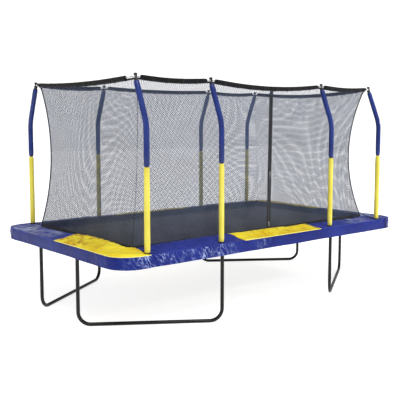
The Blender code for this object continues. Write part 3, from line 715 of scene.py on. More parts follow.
def sleeve_radius(rings, seed, radius):
    """Radius of a foam sleeve: gathered ends, long soft creases, a slight swell."""
    phase = seed * 1.7

    def size(ring, angle):
        end = min(ring, rings - 1 - ring)
        gather = 1.0 - 0.20 * math.exp(-end * 1.1)
        along = ring / (rings - 1)
        swell = 0.012 * math.sin(along * 9.0 + phase) + 0.010 * math.sin(along * 23.0 + 2 * phase)
        crease = 0.016 * math.sin(2 * angle + 5.0 * along + phase)
        crease += 0.012 * math.sin(5 * angle - 7.0 * along + 2.3 * phase)
        pleats = 0.030 * math.exp(-end * 0.7) * math.sin(14 * angle + phase)
        return radius * gather * (1.0 + swell + crease + pleats)

    return size


def stitched_seam(shape, path, outward, radius, width=0.010):
    """A flat closing strip down a sleeve."""
    verts = []
    for point, tangent in zip(path, path_tangents(path)):
        across = tangent.cross(outward).normalized()
        out = across.cross(tangent).normalized()
        base = point + out * (radius - 0.0012)
        for side, lift in ((-1, 0.0), (-0.8, SEAM_LIFT), (0.8, SEAM_LIFT), (1, 0.0)):
            verts.append(base + across * (side * width / 2) + out * lift)
    shape.add(verts, ring_faces(len(path), 4))


def make_sleeve(name, node, path, seed, material, slot, side_y):
    shape = Shape()
    shape.add(*sweep(path, sleeve_radius(len(path), seed, SLEEVE_RADIUS), 40, X_AXIS))
    inward = Vector((0.0, -side_y, 0.0))
    stitched_seam(shape, path[2:-2], inward, SLEEVE_RADIUS)
    on_frame(shape.piece(name, material), slot, node)


def make_pole(face, number, side_y):
    """One pole with its two sleeves and its cap."""
    x = POLE_XS[number - 1]
    line = pole_line(x, side_y, POLE_FOOT_Z, TIP_DISTANCE - CAP_LENGTH)
    pole = Shape()
    pole.add(*sweep(line, POLE_RADIUS, TUBE_SIDES, X_AXIS))
    piece = pole.piece(f"pole_tube_{face}_{number}", POLE_PAINT, sharp=40)
    on_frame(piece, "pole_paint", f"pole_{face}_{number}")

    seed = number + (4 if side_y > 0 else 0)
    height = SLEEVE_JOIN_LOW - SLEEVE_FOOT_Z
    count = round(height / SLEEVE_CELL)
    lower = [Vector((x, side_y * POLE_Y, SLEEVE_FOOT_Z + height * index / count))
             for index in range(count + 1)]
    make_sleeve(f"yellow_sleeve_{face}_{number}", f"sleeve_lower_{face}_{number}", lower, seed,
                YELLOW_SLEEVE, "yellow_sleeve", side_y)
    upper = pole_line(x, side_y, SLEEVE_JOIN_HIGH, TIP_DISTANCE - SLEEVE_TO_TIP, SLEEVE_CELL)
    make_sleeve(f"blue_sleeve_{face}_{number}", f"sleeve_upper_{face}_{number}", upper,
                seed + 0.5, BLUE_SLEEVE, "blue_sleeve", side_y)
    make_cap(face, number, x, side_y)


def make_cap(face, number, x, side_y):
    """Plastic cap on the pole's end, with the hook that holds the ring."""
    axis = lean_axis(side_y)
    foot = leaning_point(x, side_y, TIP_DISTANCE - CAP_LENGTH)
    shape = Shape()
    shape.add(*lathe(CAP_SHELL, foot, axis, X_AXIS, TUBE_SIDES))
    for rib in range(CAP_RIBS):
        angle = 2 * math.pi * rib / CAP_RIBS
        side = X_AXIS * math.cos(angle) + axis.cross(X_AXIS) * math.sin(angle)
        centre = foot + axis * 0.011 + side * CAP_WALL
        shape.add(*box_body(centre, (side, axis, side.cross(axis)), (0.002, 0.018, 0.003)))
    rod = Vector((x, side_y * POLE_TIP_Y, RING_Z))
    outward = Vector((0.0, side_y, 0.0))
    reach = CAP_HOOK_REACH
    hook = [rod + outward * reach - UP * 0.024, rod + outward * reach - UP * 0.006]
    hook += arc(rod, outward * reach, UP * reach, math.pi * 0.8, 8)
    shape.add(*sweep(hook, CAP_HOOK_ROD, 12, X_AXIS))
    shape.add(*lathe(CAP_KNOB, rod + UP * (reach - 0.001), UP, X_AXIS, 16))
    on_frame(shape.piece(f"pole_cap_{face}_{number}", BLACK_PLASTIC, sharp=45), "pole_paint")


# ---- top ring -----------------------------------------------------------

RING_TURN = 0.030             # the rod bends within this distance of a pole
RING_STEPS = 14

def ring_height(fraction, sag):
    return RING_Z - sag * (1.0 - (2.0 * fraction - 1.0) ** 2)


def ring_spans():
    """Each span between neighbouring poles: name, start, end and sag."""
    front = [(x, -POLE_TIP_Y) for x in POLE_XS]
    back = [(x, POLE_TIP_Y) for x in reversed(POLE_XS)]
    tips = front + back
    names = ["front_left", "front_middle", "front_right", "right",
             "back_right", "back_middle", "back_left", "left"]
    sags = [RING_SAG, RING_SAG_DOOR, RING_SAG, RING_SAG_RIGHT,
            RING_SAG, RING_SAG, RING_SAG, RING_SAG_LEFT]
    return [
        (name, Vector((*tips[index], 0)), Vector((*tips[(index + 1) % 8], 0)), sag)
        for index, (name, sag) in enumerate(zip(names, sags))
    ]


def span_point(start, end, sag, distance):
    fraction = distance / (end - start).length
    point = start.lerp(end, fraction)
    point.z = ring_height(fraction, sag)
    return point


def foam_path(name, start, end, sag):
    """Middle line of one span's foam, which leaves the rod bare at the poles."""
    room = (end - start).length - RING_BARE - (RING_BARE_LONG if name == "left" else RING_BARE)
    count = round(room / 0.02)
    return [span_point(start, end, sag, RING_BARE + room * index / count)
            for index in range(count + 1)]


def make_ring():
    rod_path = []
    for name, start, end, sag in ring_spans():
        path = foam_path(name, start, end, sag)
        radius = sleeve_radius(len(path), len(name) + start.x, RING_FOAM)
        shape = Shape()
        shape.add(*sweep(path, radius, 32))
        stitched_seam(shape, path[2:-2], -UP, RING_FOAM, width=0.012)
        on_frame(shape.piece(f"ring_foam_{name}", BLACK_COVER), "ring_foam")
        room = (end - start).length - 2 * RING_TURN
        rod_path += [span_point(start, end, sag, RING_TURN + room * index / RING_STEPS)
                     for index in range(RING_STEPS + 1)]
    rod = Shape()
    rod.add(*sweep(rod_path, RING_ROD, 14, closed=True))
    on_frame(rod.piece("ring_rod", STRAP_GREY), "ring_foam", "top_ring")


# ---- jumping mat and springs --------------------------------------------

MAT_SAG = 0.004
MAT_SHEET = 0.0024
BAND_WIDTH = 0.045
# (share of the width, height) round the webbing's section
BAND_SECTION = ((-0.5, 0.0004), (-0.46, 0.0022), (0.46, 0.0022), (0.5, 0.0004),
                (0.49, -0.0040), (-0.49, -0.0040))
STITCH = (0.008, 0.0012, 0.0009)
SPRINGS_LONG = 24
SPRINGS_SHORT = 14
SPRING_RADIUS = 0.0105
SPRING_WIRE = 0.0016
SPRING_TURNS = 15
SPRING_COIL_STEPS = 7
SPRING_EYE = 0.012            # the inner hooks stand this far outside the mat
SPRING_Z = MAT_TOP - 0.004
HOOK_LENGTH = 0.022


def mat_height(x, y):
    """The mat hangs a little at its middle."""
    return MAT_TOP - MAT_SAG * (1 - (x / MAT_X) ** 2) * (1 - (y / MAT_Y) ** 2)


def clamp_to_mat(x, y, inset=0.0):
    """Keep a plan point inside the mat's chamfered corners."""
    over = abs(x) + abs(y) - (MAT_X + MAT_Y - MAT_CHAMFER - inset)
    if over > 0:
        x -= math.copysign(over / 2, x)
        y -= math.copysign(over / 2, y)
    return x, y


def make_mat():
    columns, rows = 97, 53
    verts = []
    for layer in (0.0, -MAT_SHEET):
        for row in range(rows):
            for column in range(columns):
                x = MAT_X * (2 * column / (columns - 1) - 1)
                y = MAT_Y * (2 * row / (rows - 1) - 1)
                x, y = clamp_to_mat(x, y)
                verts.append((x, y, mat_height(x, y) + layer))
    piece = make_piece("mat_cloth", verts, sheet_faces(rows, columns), MAT_LOOK, sharp=50)
    on_mat(piece, "mat_weave", "jumping_mat")
    make_mat_band()
    make_mat_stitches()
    make_vrings()


def rectangle_walk(half_x, half_y, spacing):
    """Points round a rectangle, with the direction out of it."""
    points = []
    sides = [((-1, -1), (1, -1), (0, -1)), ((1, -1), (1, 1), (1, 0)),
             ((1, 1), (-1, 1), (0, 1)), ((-1, 1), (-1, -1), (-1, 0))]
    for start, end, out in sides:
        first = Vector((start[0] * half_x, start[1] * half_y, 0))
        last = Vector((end[0] * half_x, end[1] * half_y, 0))
        count = round((last - first).length / spacing)
        for index in range(count):
            points.append((first.lerp(last, index / count), Vector((*out, 0))))
    return points


def make_mat_band():
    """Folded webbing sewn round the mat's edge."""
    edge_x, edge_y = MAT_X - BAND_WIDTH / 2, MAT_Y - BAND_WIDTH / 2
    walk = rectangle_walk(edge_x, edge_y, 0.02)
    verts = []
    for point, _ in walk:
        on_short = abs(abs(point.x) - edge_x) < 1e-6
        on_long = abs(abs(point.y) - edge_y) < 1e-6
        for shift, lift in BAND_SECTION:
            scale_x = (abs(point.x) + shift * BAND_WIDTH * 0.98) / max(abs(point.x), 1e-6)
            scale_y = (abs(point.y) + shift * BAND_WIDTH * 0.98) / max(abs(point.y), 1e-6)
            x = point.x * (scale_x if on_short else 1.0)
            y = point.y * (scale_y if on_long else 1.0)
            x, y = clamp_to_mat(x, y, 0.0 if shift > 0 else BAND_WIDTH)
            verts.append((x, y, mat_height(x, y) + lift))
    faces = ring_faces(len(walk), len(BAND_SECTION), closed=True)
    on_mat(make_piece("mat_edge_webbing", verts, faces, BLACK_WEBBING, sharp=50), "mat_weave")


def make_mat_stitches():
    """Two lines of lock stitches along the webbing."""
    shape = Shape()
    for inset in (0.010, BAND_WIDTH - 0.008):
        for point, out in rectangle_walk(MAT_X - inset, MAT_Y - inset, 0.012):
            along = out.cross(UP)
            x, y = clamp_to_mat(point.x, point.y, inset + 0.01)
            centre = Vector((x, y, mat_height(x, y) + 0.0024))
            shape.add(*box_body(centre, (along, out, UP), STITCH))
    on_mat(shape.piece("mat_stitching", ZIP_THREAD), "mat_weave")


def spring_places():
    """Side name, inner end, outer end and outward direction of each spring."""
    places = []
    half_x, half_y = MAT_X + SPRING_EYE, MAT_Y + SPRING_EYE
    span_x, span_y = half_x - MAT_CHAMFER, half_y - MAT_CHAMFER
    edge_y, edge_x = FRAME_Y - FRAME_TUBE / 2, FRAME_X - FRAME_TUBE / 2
    for name, side in FACES:
        for index in range(SPRINGS_LONG):
            x = span_x * (2 * (index + 0.5) / SPRINGS_LONG - 1)
            places.append((name, Vector((x, side * half_y, SPRING_Z)),
                           Vector((x, side * edge_y, SPRING_Z)), Vector((0, side, 0))))
    for name, side in ENDS:
        for index in range(SPRINGS_SHORT):
            y = span_y * (2 * (index + 0.5) / SPRINGS_SHORT - 1)
            places.append((name, Vector((side * half_x, y, SPRING_Z)),
                           Vector((side * edge_x, y, SPRING_Z)), Vector((side, 0, 0))))
    return places


def add_spring(shape, inner, outer, out):
    """Close-wound coil with a hook at each end."""
    across = out.cross(UP)
    start = inner + out * HOOK_LENGTH
    length = (outer - inner).length - HOOK_LENGTH - 0.012
    total = SPRING_TURNS * SPRING_COIL_STEPS
    coil = []
    for step in range(total + 1):
        angle = 2 * math.pi * step / SPRING_COIL_STEPS
        taper = min(1.0, 0.45 + min(step, total - step) / (1.2 * SPRING_COIL_STEPS))
        radius = SPRING_RADIUS * taper
        centre = start + out * (length * step / total)
        coil.append(centre + (across * math.cos(angle) + UP * math.sin(angle)) * radius)
    hook_in = [inner - out * 0.004 - UP * 0.005, inner - out * 0.006, inner + UP * 0.004,
               inner + out * 0.012 + UP * 0.001]
    hook_out = [outer - out * 0.008, outer + UP * 0.004, outer + out * 0.003 + UP * 0.010]
    # a reference that no part of the coil runs along
    reference = Vector((0.31, 0.43, 0.85))
    shape.add(*sweep(hook_in + coil + hook_out, SPRING_WIRE, 4, reference))


def make_springs():
    shapes = {name: Shape() for name, _ in FACES + ENDS}
    for name, inner, outer, out in spring_places():
        add_spring(shapes[name], inner, outer, out)
    for name, side in FACES + ENDS:
        piece = shapes[name].piece(f"coil_springs_{name}", ZINC)
        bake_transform(piece)
        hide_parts("springs")


def make_vrings():
    """A loop of webbing and a steel triangle for each spring."""
    loops, rings = Shape(), Shape()
    for _, inner, _, out in spring_places():
        across = out.cross(UP)
        centre = inner - out * 0.020
        loops.add(*box_body(centre - UP * 0.0012, (across, out, UP), (0.026, 0.036, 0.0030)))
        tip = inner + out * 0.004
        base = tip - out * 0.012
        corners = [base - across * 0.015, base + across * 0.015, tip]
        path = []
        for index, corner in enumerate(corners):
            after = corners[(index + 1) % 3]
            path += [corner.lerp(after, share) for share in (0.12, 0.5, 0.88)]
        rings.add(*sweep(path, 0.0018, 6, closed=True))
    on_mat(loops.piece("spring_loops", BLACK_WEBBING, sharp=50), "mat_weave")
    on_mat(rings.piece("v_rings", ZINC, sharp=50), "spring_steel")


# ---- pads ---------------------------------------------------------------

PAD_BOTTOM = FRAME_TOP + 0.003
PAD_CREST = 0.936
PAD_COLUMNS = 20
PAD_CELL = 0.016
POLE_HOLE = 0.0225
PAD_EDGE = 0.004              # the covers end this far inside the skirt's line
SEAM_GAP = 0.001              # half of the gap between two covers
WELT_STEPS = 24
CLOTH_FRAMES = 18
CLOTH_PRESSURE = 1.6
CLOTH_STIFFNESS = 12.0
MOST_SWELL = 0.016
FOLD_SCALE = 7.0
YELLOW_FROM, YELLOW_TO = -0.63, 0.69
ARC_CELLS = 22
# (place along the side, extra height of the crest): the foam is fuller in some lengths
CREST_LIFT = {
    "front": [(-1.94, 0.010), (-1.6, 0.034), (-1.0, 0.040), (-0.63, 0.026), (0.0, 0.032),
              (0.35, 0.022), (0.69, 0.010), (1.2, 0.016), (1.94, 0.004)],
    "left": [(-1.05, 0.008), (-0.85, 0.024), (-0.5, 0.036), (-0.1, 0.020), (0.5, 0.010),
             (1.05, 0.004)],
    "back": [(-1.94, -0.006), (1.94, -0.006)],
    "right": [(-1.05, 0.004), (1.05, 0.0)],
}
INNER_SEAM_X = PAD_INNER_X - PAD_INNER_CORNER - 0.002


def pad_profile(share, heave=0.0):
    """Height of an unfilled pad; share runs from its outer edge to its inner one."""
    stops = [(0.0, PAD_TOP - 0.006), (0.06, PAD_TOP + 0.001), (0.40, PAD_TOP + 0.004),
             (0.80, PAD_CREST - 0.004), (0.95, PAD_CREST - 0.008), (1.0, PAD_CREST - 0.022)]
    raised = heave * math.sin(math.pi / 2 * min(1.0, share / 0.8)) ** 2
    return float(np.interp(share, *zip(*stops))) + raised


def spread_points(first, last, cells):
    return [first.lerp(last, index / cells) for index in range(cells)]


def end_plan(side_x, side_y, half_x, half_y, radius, straight_cells, seam_x):
    """Plan of one end pad's half: seam, rounded corner, then to the middle."""
    corner = Vector((side_x * (half_x - radius), side_y * (half_y - radius), 0))
    bend = arc(corner, Vector((0, side_y * radius, 0)), Vector((side_x * radius, 0, 0)),
               math.pi / 2, ARC_CELLS)
    seam = Vector((side_x * seam_x, side_y * half_y, 0))
    middle_point = Vector((side_x * half_x, side_y * 0.001, 0))
    return (spread_points(seam, bend[0], 5) + bend[:-1]
            + spread_points(bend[-1], middle_point, straight_cells) + [middle_point])


def side_plan(side_y, half_y, start, end):
    """Plan line of one length of a side pad."""
    cells = round((end - start) / PAD_CELL)
    first = Vector((start, side_y * half_y, 0))
    last = Vector((end, side_y * half_y, 0))
    return spread_points(first, last, cells) + [last]


def lift_along(stops, point, axis):
    """How much higher the pad's crest stands at a point, from (place, lift) stops."""
    return float(np.interp(point[axis], *zip(*stops)))


def pad_body(outer, inner, stops, axis):
    """Closed body between plan lines: top columns, then bottom columns per ring."""
    verts = []
    loop = 2 * (PAD_COLUMNS + 1)
    shares = [share / PAD_COLUMNS for share in range(PAD_COLUMNS + 1)]
    for outside, inside in zip(outer, inner):
        across = inside - outside
        lift = lift_along(stops, inside, axis)
        for share in shares:
            point = outside + across * share
            verts.append(Vector((point.x, point.y, pad_profile(share, lift))))
        for share in reversed(shares):
            point = outside + across * min(max(share, 0.006), 0.985)
            verts.append(Vector((point.x, point.y, PAD_BOTTOM)))
    return verts, ring_faces(len(outer), loop), loop


def read_points(mesh):
    flat = np.empty(len(mesh.vertices) * 3, np.float32)
    mesh.vertices.foreach_get("co", flat)
    return flat.reshape(-1, 3).astype(float)


def write_points(mesh, points):
    mesh.vertices.foreach_set("co", points.astype(np.float32).ravel())
    mesh.update()


def cloth_modifier(piece, pinned, slack):
    """Cloth under pressure, with these vertices sewn down."""
    group = piece.vertex_groups.new(name="sewn_down")
    group.add([int(index) for index in pinned], 1.0, "REPLACE")
    modifier = piece.modifiers.new("cloth", "CLOTH")
    settings = modifier.settings
    settings.quality = 6
    settings.mass = 0.25
    settings.vertex_group_mass = group.name
    settings.tension_stiffness = CLOTH_STIFFNESS
    settings.compression_stiffness = CLOTH_STIFFNESS
    settings.shear_stiffness = 6.0
    settings.bending_stiffness = 0.25
    settings.shrink_min = -slack
    settings.effector_weights.gravity = 0.0
    settings.use_pressure = True
    settings.uniform_pressure_force = CLOTH_PRESSURE
    modifier.point_cache.frame_start = 1
    modifier.point_cache.frame_end = CLOTH_FRAMES
    return modifier, group


def simulate(piece, pinned, slack):
    """Let the cover swell and settle, and keep the result."""
    scene = bpy.context.scene
    modifier, group = cloth_modifier(piece, pinned, slack)
    before = read_points(piece.data)
    for step in range(1, CLOTH_FRAMES + 1):
        scene.frame_set(step)
    settled = piece.evaluated_get(bpy.context.evaluated_depsgraph_get())
    after = read_points(settled.data)
    piece.modifiers.remove(modifier)
    piece.vertex_groups.remove(group)
    scene.frame_set(1)
    moved = after - before
    size = np.linalg.norm(moved, axis=1, keepdims=True)
    limited = MOST_SWELL * np.tanh(size / MOST_SWELL)
    write_points(piece.data, before + moved * (limited / np.maximum(size, 1e-9)))


def settle_round_poles(mesh):
    """Press the pad's top down where a pole's sleeve stands on it."""
    points = read_points(mesh)
    target = SLEEVE_FOOT_Z - 0.002
    for x in POLE_XS:
        for _, side_y in FACES:
            away = np.hypot(points[:, 0] - x, points[:, 1] - side_y * POLE_Y)
            near = np.exp(-(away / 0.075) ** 2)
            top = points[:, 2] > PAD_BOTTOM + 0.004
            drop = np.maximum(points[:, 2] - target, 0.0) * near
            points[:, 2] -= np.where(top, drop, 0.0)
    write_points(mesh, points)


def crease_height(point, scale, seed):
    """Ridged noise: sharp little folds with smooth cloth between them."""
    place = Vector(point) * scale + Vector((seed * 3.1, seed * 1.7, 0.0))
    first = 1.0 - abs(noise.noise(place)) * 2.2
    second = 1.0 - abs(noise.noise(place * 2.1)) * 2.2
    return max(0.0, first) ** 3 + 0.4 * max(0.0, second) ** 3


def radiating_fold(point, centre):
    """Folds that fan out from the inner end of a seam and die away."""
    across, along = point[0] - centre.x, point[1] - centre.y
    away = math.hypot(across, along)
    turn = math.atan2(along, across)
    fan = 1.0 - 2.0 * abs(math.sin(6.5 * turn + 9.0 * away))
    return fan * math.exp(-away / 0.22) * min(1.0, away / 0.05)


def crumple(mesh, loop, rings, height, seed, centres):
    """Raise small folds on a pad's top, none at its sewn edges."""
    points = read_points(mesh)
    for ring in range(1, rings - 1):
        ends = min(ring, rings - 1 - ring)
        along = min(1.0, ends / 4.0)
        for column in range(1, PAD_COLUMNS):
            edge = min(1.0, column / 3.0, (PAD_COLUMNS - column) / 3.0)
            index = ring * loop + column
            fold = crease_height(points[index], FOLD_SCALE, seed)
            fold += sum(radiating_fold(points[index], centre) for centre in centres)
            points[index, 2] += height * along * edge * fold
    write_points(mesh, points)


def cut_pole_holes(piece):
    """Round holes through the pad where poles pass."""
    shape = Shape()
    low, high = read_points(piece.data).min(axis=0), read_points(piece.data).max(axis=0)
    for x in POLE_XS:
        for _, side_y in FACES:
            y = side_y * POLE_Y
            if low[0] - 0.03 < x < high[0] + 0.03 and low[1] < y < high[1]:
                path = [Vector((x, y, 0.80)), Vector((x, y, 1.10))]
                shape.add(*sweep(path, POLE_HOLE, 28, X_AXIS))
    if not shape.verts:
        return
    cutter = shape.piece("hole_guide", BLUE_PVC)
    boolean = piece.modifiers.new("holes", "BOOLEAN")
    boolean.object = cutter
    boolean.operation = "DIFFERENCE"
    boolean.solver = "EXACT"
    keep_modifiers(piece)
    bpy.data.objects.remove(cutter)


def keep_modifiers(piece):
    """Replace the mesh by its evaluated copy, with nothing left on the stack."""
    graph = bpy.context.evaluated_depsgraph_get()
    mesh = bpy.data.meshes.new_from_object(piece.evaluated_get(graph))
    piece.modifiers.clear()
    piece.data = mesh
    mesh.shade_smooth()


def make_pad(name, node, outer, inner, material, seed, stops, axis):
    verts, faces, loop = pad_body(outer, inner, stops, axis)
    piece = make_piece(name, verts, faces, material)
    rings = len(outer)
    pinned = set(range(loop)) | set(range((rings - 1) * loop, rings * loop))
    for ring in range(rings):
        start = ring * loop
        pinned.update({start, start + 1, *range(start + PAD_COLUMNS + 1, start + loop)})
    # yellow lengths hold a little more cloth, so they pucker more
    slack, height = (0.040, 0.0085) if material is YELLOW_PVC else (0.025, 0.0055)
    simulate(piece, sorted(pinned), slack)
    crumple(piece.data, loop, rings, height, seed, [inner[0], inner[-1]])
    settle_round_poles(piece.data)
    subdivision = piece.modifiers.new("smooth", "SUBSURF")
    subdivision.levels = subdivision.render_levels = 1
    keep_modifiers(piece)
    cut_pole_holes(piece)
    on_frame(piece, "pad_cover", node)


def panel_welt(name, outer, inner, stops, axis):
    """Rolled seam across a pad between two of its covers."""
    lift = lift_along(stops, inner, axis)
    path = []
    for step in range(WELT_STEPS + 1):
        share = 0.01 + 0.98 * step / WELT_STEPS
        point = outer.lerp(inner, share)
        path.append(Vector((point.x, point.y, pad_profile(share, lift) + 0.001)))
    shape = Shape()
    shape.add(*sweep(path, 0.0026, 8))
    on_frame(shape.piece(name, YELLOW_PVC), "pad_cover")


def resample(line, count):
    """The same straight line with another number of points."""
    return [line[0].lerp(line[-1], index / (count - 1)) for index in range(count)]


def make_end_pads():
    straight = round((PAD_Y - PAD_CORNER) / PAD_CELL)
    for face, end, side_x, side_y in CORNERS:
        outer = end_plan(side_x, side_y, PAD_X - PAD_EDGE, PAD_Y - PAD_EDGE, PAD_CORNER,
                         straight, POLE_X + SEAM_GAP)
        inner = end_plan(side_x, side_y, PAD_INNER_X, PAD_INNER_Y, PAD_INNER_CORNER,
                         straight, INNER_SEAM_X + SEAM_GAP)
        # the yellow covers lie on opposite corners
        material = YELLOW_PVC if side_x == side_y else BLUE_PVC
        make_pad(f"pad_cover_{end}_{face}", f"pad_{end}", outer, inner, material,
                 3 + side_x + 2 * side_y, CREST_LIFT[end], 1)
        if face == "back":
            outer = Vector((side_x * (PAD_X - PAD_EDGE), 0.0, 0.0))
            inner = Vector((side_x * PAD_INNER_X, 0.0, 0.0))
            panel_welt(f"pad_welt_{end}", outer, inner, CREST_LIFT[end], 1)


def make_side_pads():
    for face, side_y in FACES:
        first, last = (YELLOW_FROM, YELLOW_TO) if side_y < 0 else (-YELLOW_TO, -YELLOW_FROM)
        lengths = [("left", -POLE_X, first, BLUE_PVC), ("middle", first, last, YELLOW_PVC),
                   ("right", last, POLE_X, BLUE_PVC)]
        for index, (part, start, end, material) in enumerate(lengths):
            outer = side_plan(side_y, PAD_Y - PAD_EDGE, start + SEAM_GAP, end - SEAM_GAP)
            inner_start = -INNER_SEAM_X if part == "left" else start
            inner_end = INNER_SEAM_X if part == "right" else end
            inner = side_plan(side_y, PAD_INNER_Y, inner_start + SEAM_GAP, inner_end - SEAM_GAP)
            inner = resample(inner, len(outer))
            make_pad(f"pad_cover_{face}_{part}", f"pad_{face}", outer, inner, material,
                     11 + 5 * index + side_y, CREST_LIFT[face], 0)
        for part, x in (("left", first), ("right", last)):
            outer = Vector((x, side_y * (PAD_Y - PAD_EDGE), 0.0))
            inner = Vector((x, side_y * PAD_INNER_Y, 0.0))
            panel_welt(f"pad_welt_{face}_{part}", outer, inner, CREST_LIFT[face], 0)


# ---- skirts and piping --------------------------------------------------

SKIRT_TOP = PAD_TOP - 0.004
SKIRT_ROWS = 14
SKIRT_SHEET = 0.0011
HEM_SHARE = 0.90
SKIRT_CELL = 0.011
PIPING_CELL = 0.020
PIPING_ROD = 0.0042
HEM_FOLD = 0.0012
HEM_STITCH_PITCH = 0.016
HEM_STITCH = (0.008, 0.0012, 0.0010)
HEM_STITCH_SHARE = 0.87


def outline_point(distance):
    """A point of the pads' outer plan, walking from the front middle to the right.

    Returns the point and the direction out of the pads there.
    """
    radius = PAD_CORNER
    straight_x, straight_y = PAD_X - radius, PAD_Y - radius
    bend = radius * math.pi / 2
    # (kind, side or corner, length, x or angle where it starts)
    runs = [("side", -1, straight_x, 0.0), ("bend", (1, -1), bend, -math.pi / 2),
            ("end", 1, 2 * straight_y, None), ("bend", (1, 1), bend, 0.0),
            ("side", 1, 2 * straight_x, straight_x), ("bend", (-1, 1), bend, math.pi / 2),
            ("end", -1, 2 * straight_y, None), ("bend", (-1, -1), bend, math.pi),
            ("side", -1, straight_x, -straight_x)]
    distance %= sum(run[2] for run in runs)
    for kind, side, length, start in runs:
        if distance <= length:
            break
        distance -= length
    if kind == "side":
        return Vector((start - side * distance, side * PAD_Y, 0)), Vector((0, side, 0))
    if kind == "end":
        return Vector((side * PAD_X, side * (distance - straight_y), 0)), Vector((side, 0, 0))
    angle = start + distance / radius
    out = Vector((math.cos(angle), math.sin(angle), 0))
    return Vector((side[0] * straight_x, side[1] * straight_y, 0)) + out * radius, out


def corner_gaps(distance):
    """Walking distances from a place on the outline to the middles of its corners."""
    bend = PAD_CORNER * math.pi / 2
    half_x, half_y = PAD_X - PAD_CORNER, PAD_Y - PAD_CORNER
    total = 4 * (half_x + half_y + bend)
    first = half_x + bend / 2
    second = first + bend + 2 * half_y
    gaps = []
    for corner in (first, second, total - second, total - first):
        gap = abs((distance - corner) % total)
        gaps.append(min(gap, total - gap))
    return gaps


def skirt_bulge(distance, down):
    """How far the skirt stands off its plain line, down running 0 to 1."""
    slow = noise.noise(Vector((distance * 1.6, down * 0.7, 4.0)))
    fine = noise.noise(Vector((distance * 4.0, down * 1.2, 9.0)))
    fold = crease_height((distance * 0.9 + down * 0.13, down * 0.12, 0.3), 5.5, 2.0)
    sharp = crease_height((distance * 1.0 - down * 0.10, down * 0.09, 1.3), 9.0, 5.0)
    # the cloth is bunched where it turns the corners
    bunched = 0.10 + 0.90 * max(math.exp(-(gap / 0.55) ** 2) for gap in corner_gaps(distance))
    belly = 0.0030 * math.sin(math.pi * min(1.0, down * 1.25))
    folds = (0.0060 * fold + 0.0045 * sharp) * bunched
    return belly + (0.0030 * slow + 0.0006 * fine) * down + folds - 0.003


def skirt_point(distance, down, outward):
    point, out = outline_point(distance)
    drop = (SKIRT_TOP - SKIRT_BOTTOM) * down
    wave = 0.004 * noise.noise(Vector((distance * 2.3, 1.0, 7.0))) * down
    place = point + out * (skirt_bulge(distance, down) + outward)
    place.z = SKIRT_TOP - drop + wave
    return place


def make_skirt(name, start, end):
    """A thin skirt panel along the outline, with a turned hem."""
    count = round((end - start) / SKIRT_CELL)
    rows = [row / SKIRT_ROWS for row in range(SKIRT_ROWS + 1)]
    verts = []
    for side in (1, -1):
        for row in rows:
            outward = side * (SKIRT_SHEET / 2 + (HEM_FOLD if row > HEM_SHARE else 0.0))
            for column in range(count + 1):
                distance = start + (end - start) * column / count
                verts.append(skirt_point(distance, row, outward))
    faces = sheet_faces(len(rows), count + 1)
    piece = make_piece(name, verts, faces, BLUE_SKIRT, sharp=60)
    on_frame(piece, "pad_cover")


def make_piping(name, start, end, material):
    """Corded edge where the skirt is sewn to the pad."""
    count = round((end - start) / PIPING_CELL)
    path = []
    for index in range(count + 1):
        distance = start + (end - start) * index / count
        point, out = outline_point(distance)
        place = point + out * (skirt_bulge(distance, 0.0) - 0.001)
        path.append(Vector((place.x, place.y, PAD_TOP - 0.002)))
    shape = Shape()
    shape.add(*sweep(path, PIPING_ROD, 10))
    on_frame(shape.piece(name, material), "pad_cover")


def make_hem_stitches(name, start, end):
    """Lock stitches above the skirt's hem."""
    shape = Shape()
    count = round((end - start) / HEM_STITCH_PITCH)
    for index in range(count):
        distance = start + (end - start) * (index + 0.5) / count
        _, out = outline_point(distance)
        along = UP.cross(out).normalized()
        place = skirt_point(distance, HEM_STITCH_SHARE, SKIRT_SHEET / 2 + 0.0003)
        shape.add(*box_body(place, (along, UP, out), HEM_STITCH))
    on_frame(shape.piece(name, BLUE_THREAD), "pad_cover")


def make_skirts():
    """Four skirts that meet at the corner poles, and piping in the pads' colours."""
    quarter = PAD_X - PAD_CORNER + PAD_CORNER * math.pi / 2 + (PAD_Y - PAD_CORNER)
    half = 2 * quarter
    right_far, left_far = half - POLE_X, half + POLE_X
    left_near = 4 * quarter - POLE_X
    panels = [("right", POLE_X, right_far), ("back", right_far, left_far),
              ("left", left_far, left_near), ("front", left_near - 4 * quarter, POLE_X)]
    for name, start, end in panels:
        make_skirt(f"skirt_{name}", start + 0.0008, end - 0.0008)
        make_hem_stitches(f"skirt_stitches_{name}", start + 0.004, end - 0.004)
    runs = [("front_left", -POLE_X, YELLOW_FROM, BLUE_PIPING),
            ("front_middle", YELLOW_FROM, YELLOW_TO, PALE_PIPING),
            ("front_right", YELLOW_TO, POLE_X, BLUE_PIPING),
            ("right_near", POLE_X, quarter, BLUE_PIPING),
            ("right_far", quarter, right_far, PALE_PIPING),
            ("back_right", right_far, half + YELLOW_FROM, BLUE_PIPING),
            ("back_middle", half + YELLOW_FROM, half + YELLOW_TO, PALE_PIPING),
            ("back_left", half + YELLOW_TO, left_far, BLUE_PIPING),
            ("left_far", left_far, 3 * quarter, BLUE_PIPING),
            ("left_near", 3 * quarter, left_near, PALE_PIPING)]
    for name, start, end, material in runs:
        make_piping(f"pad_piping_{name}", start + 0.0005, end - 0.0005, material)


# ---- net ----------------------------------------------------------------

HEM_HIGH = 0.952
MAT_FOOT_REACH = 0.040
TOP_BAND = 0.016
NET_REACH = 0.026
NET_ROWS = 56
TIE_START = RING_BARE + 0.14
TIE_PITCH = 0.22
TIE_STEPS = 12
CORNER_STEPS = 48


def net_corner(height, side_x):
    pull = NET_PULL[side_x] * 4.0 * height * (1.0 - height)
    return (NET_FOOT_X + (NET_TOP_X - NET_FOOT_X) * height - pull,
            NET_FOOT_Y + (NET_TOP_Y - NET_FOOT_Y) * height - pull)


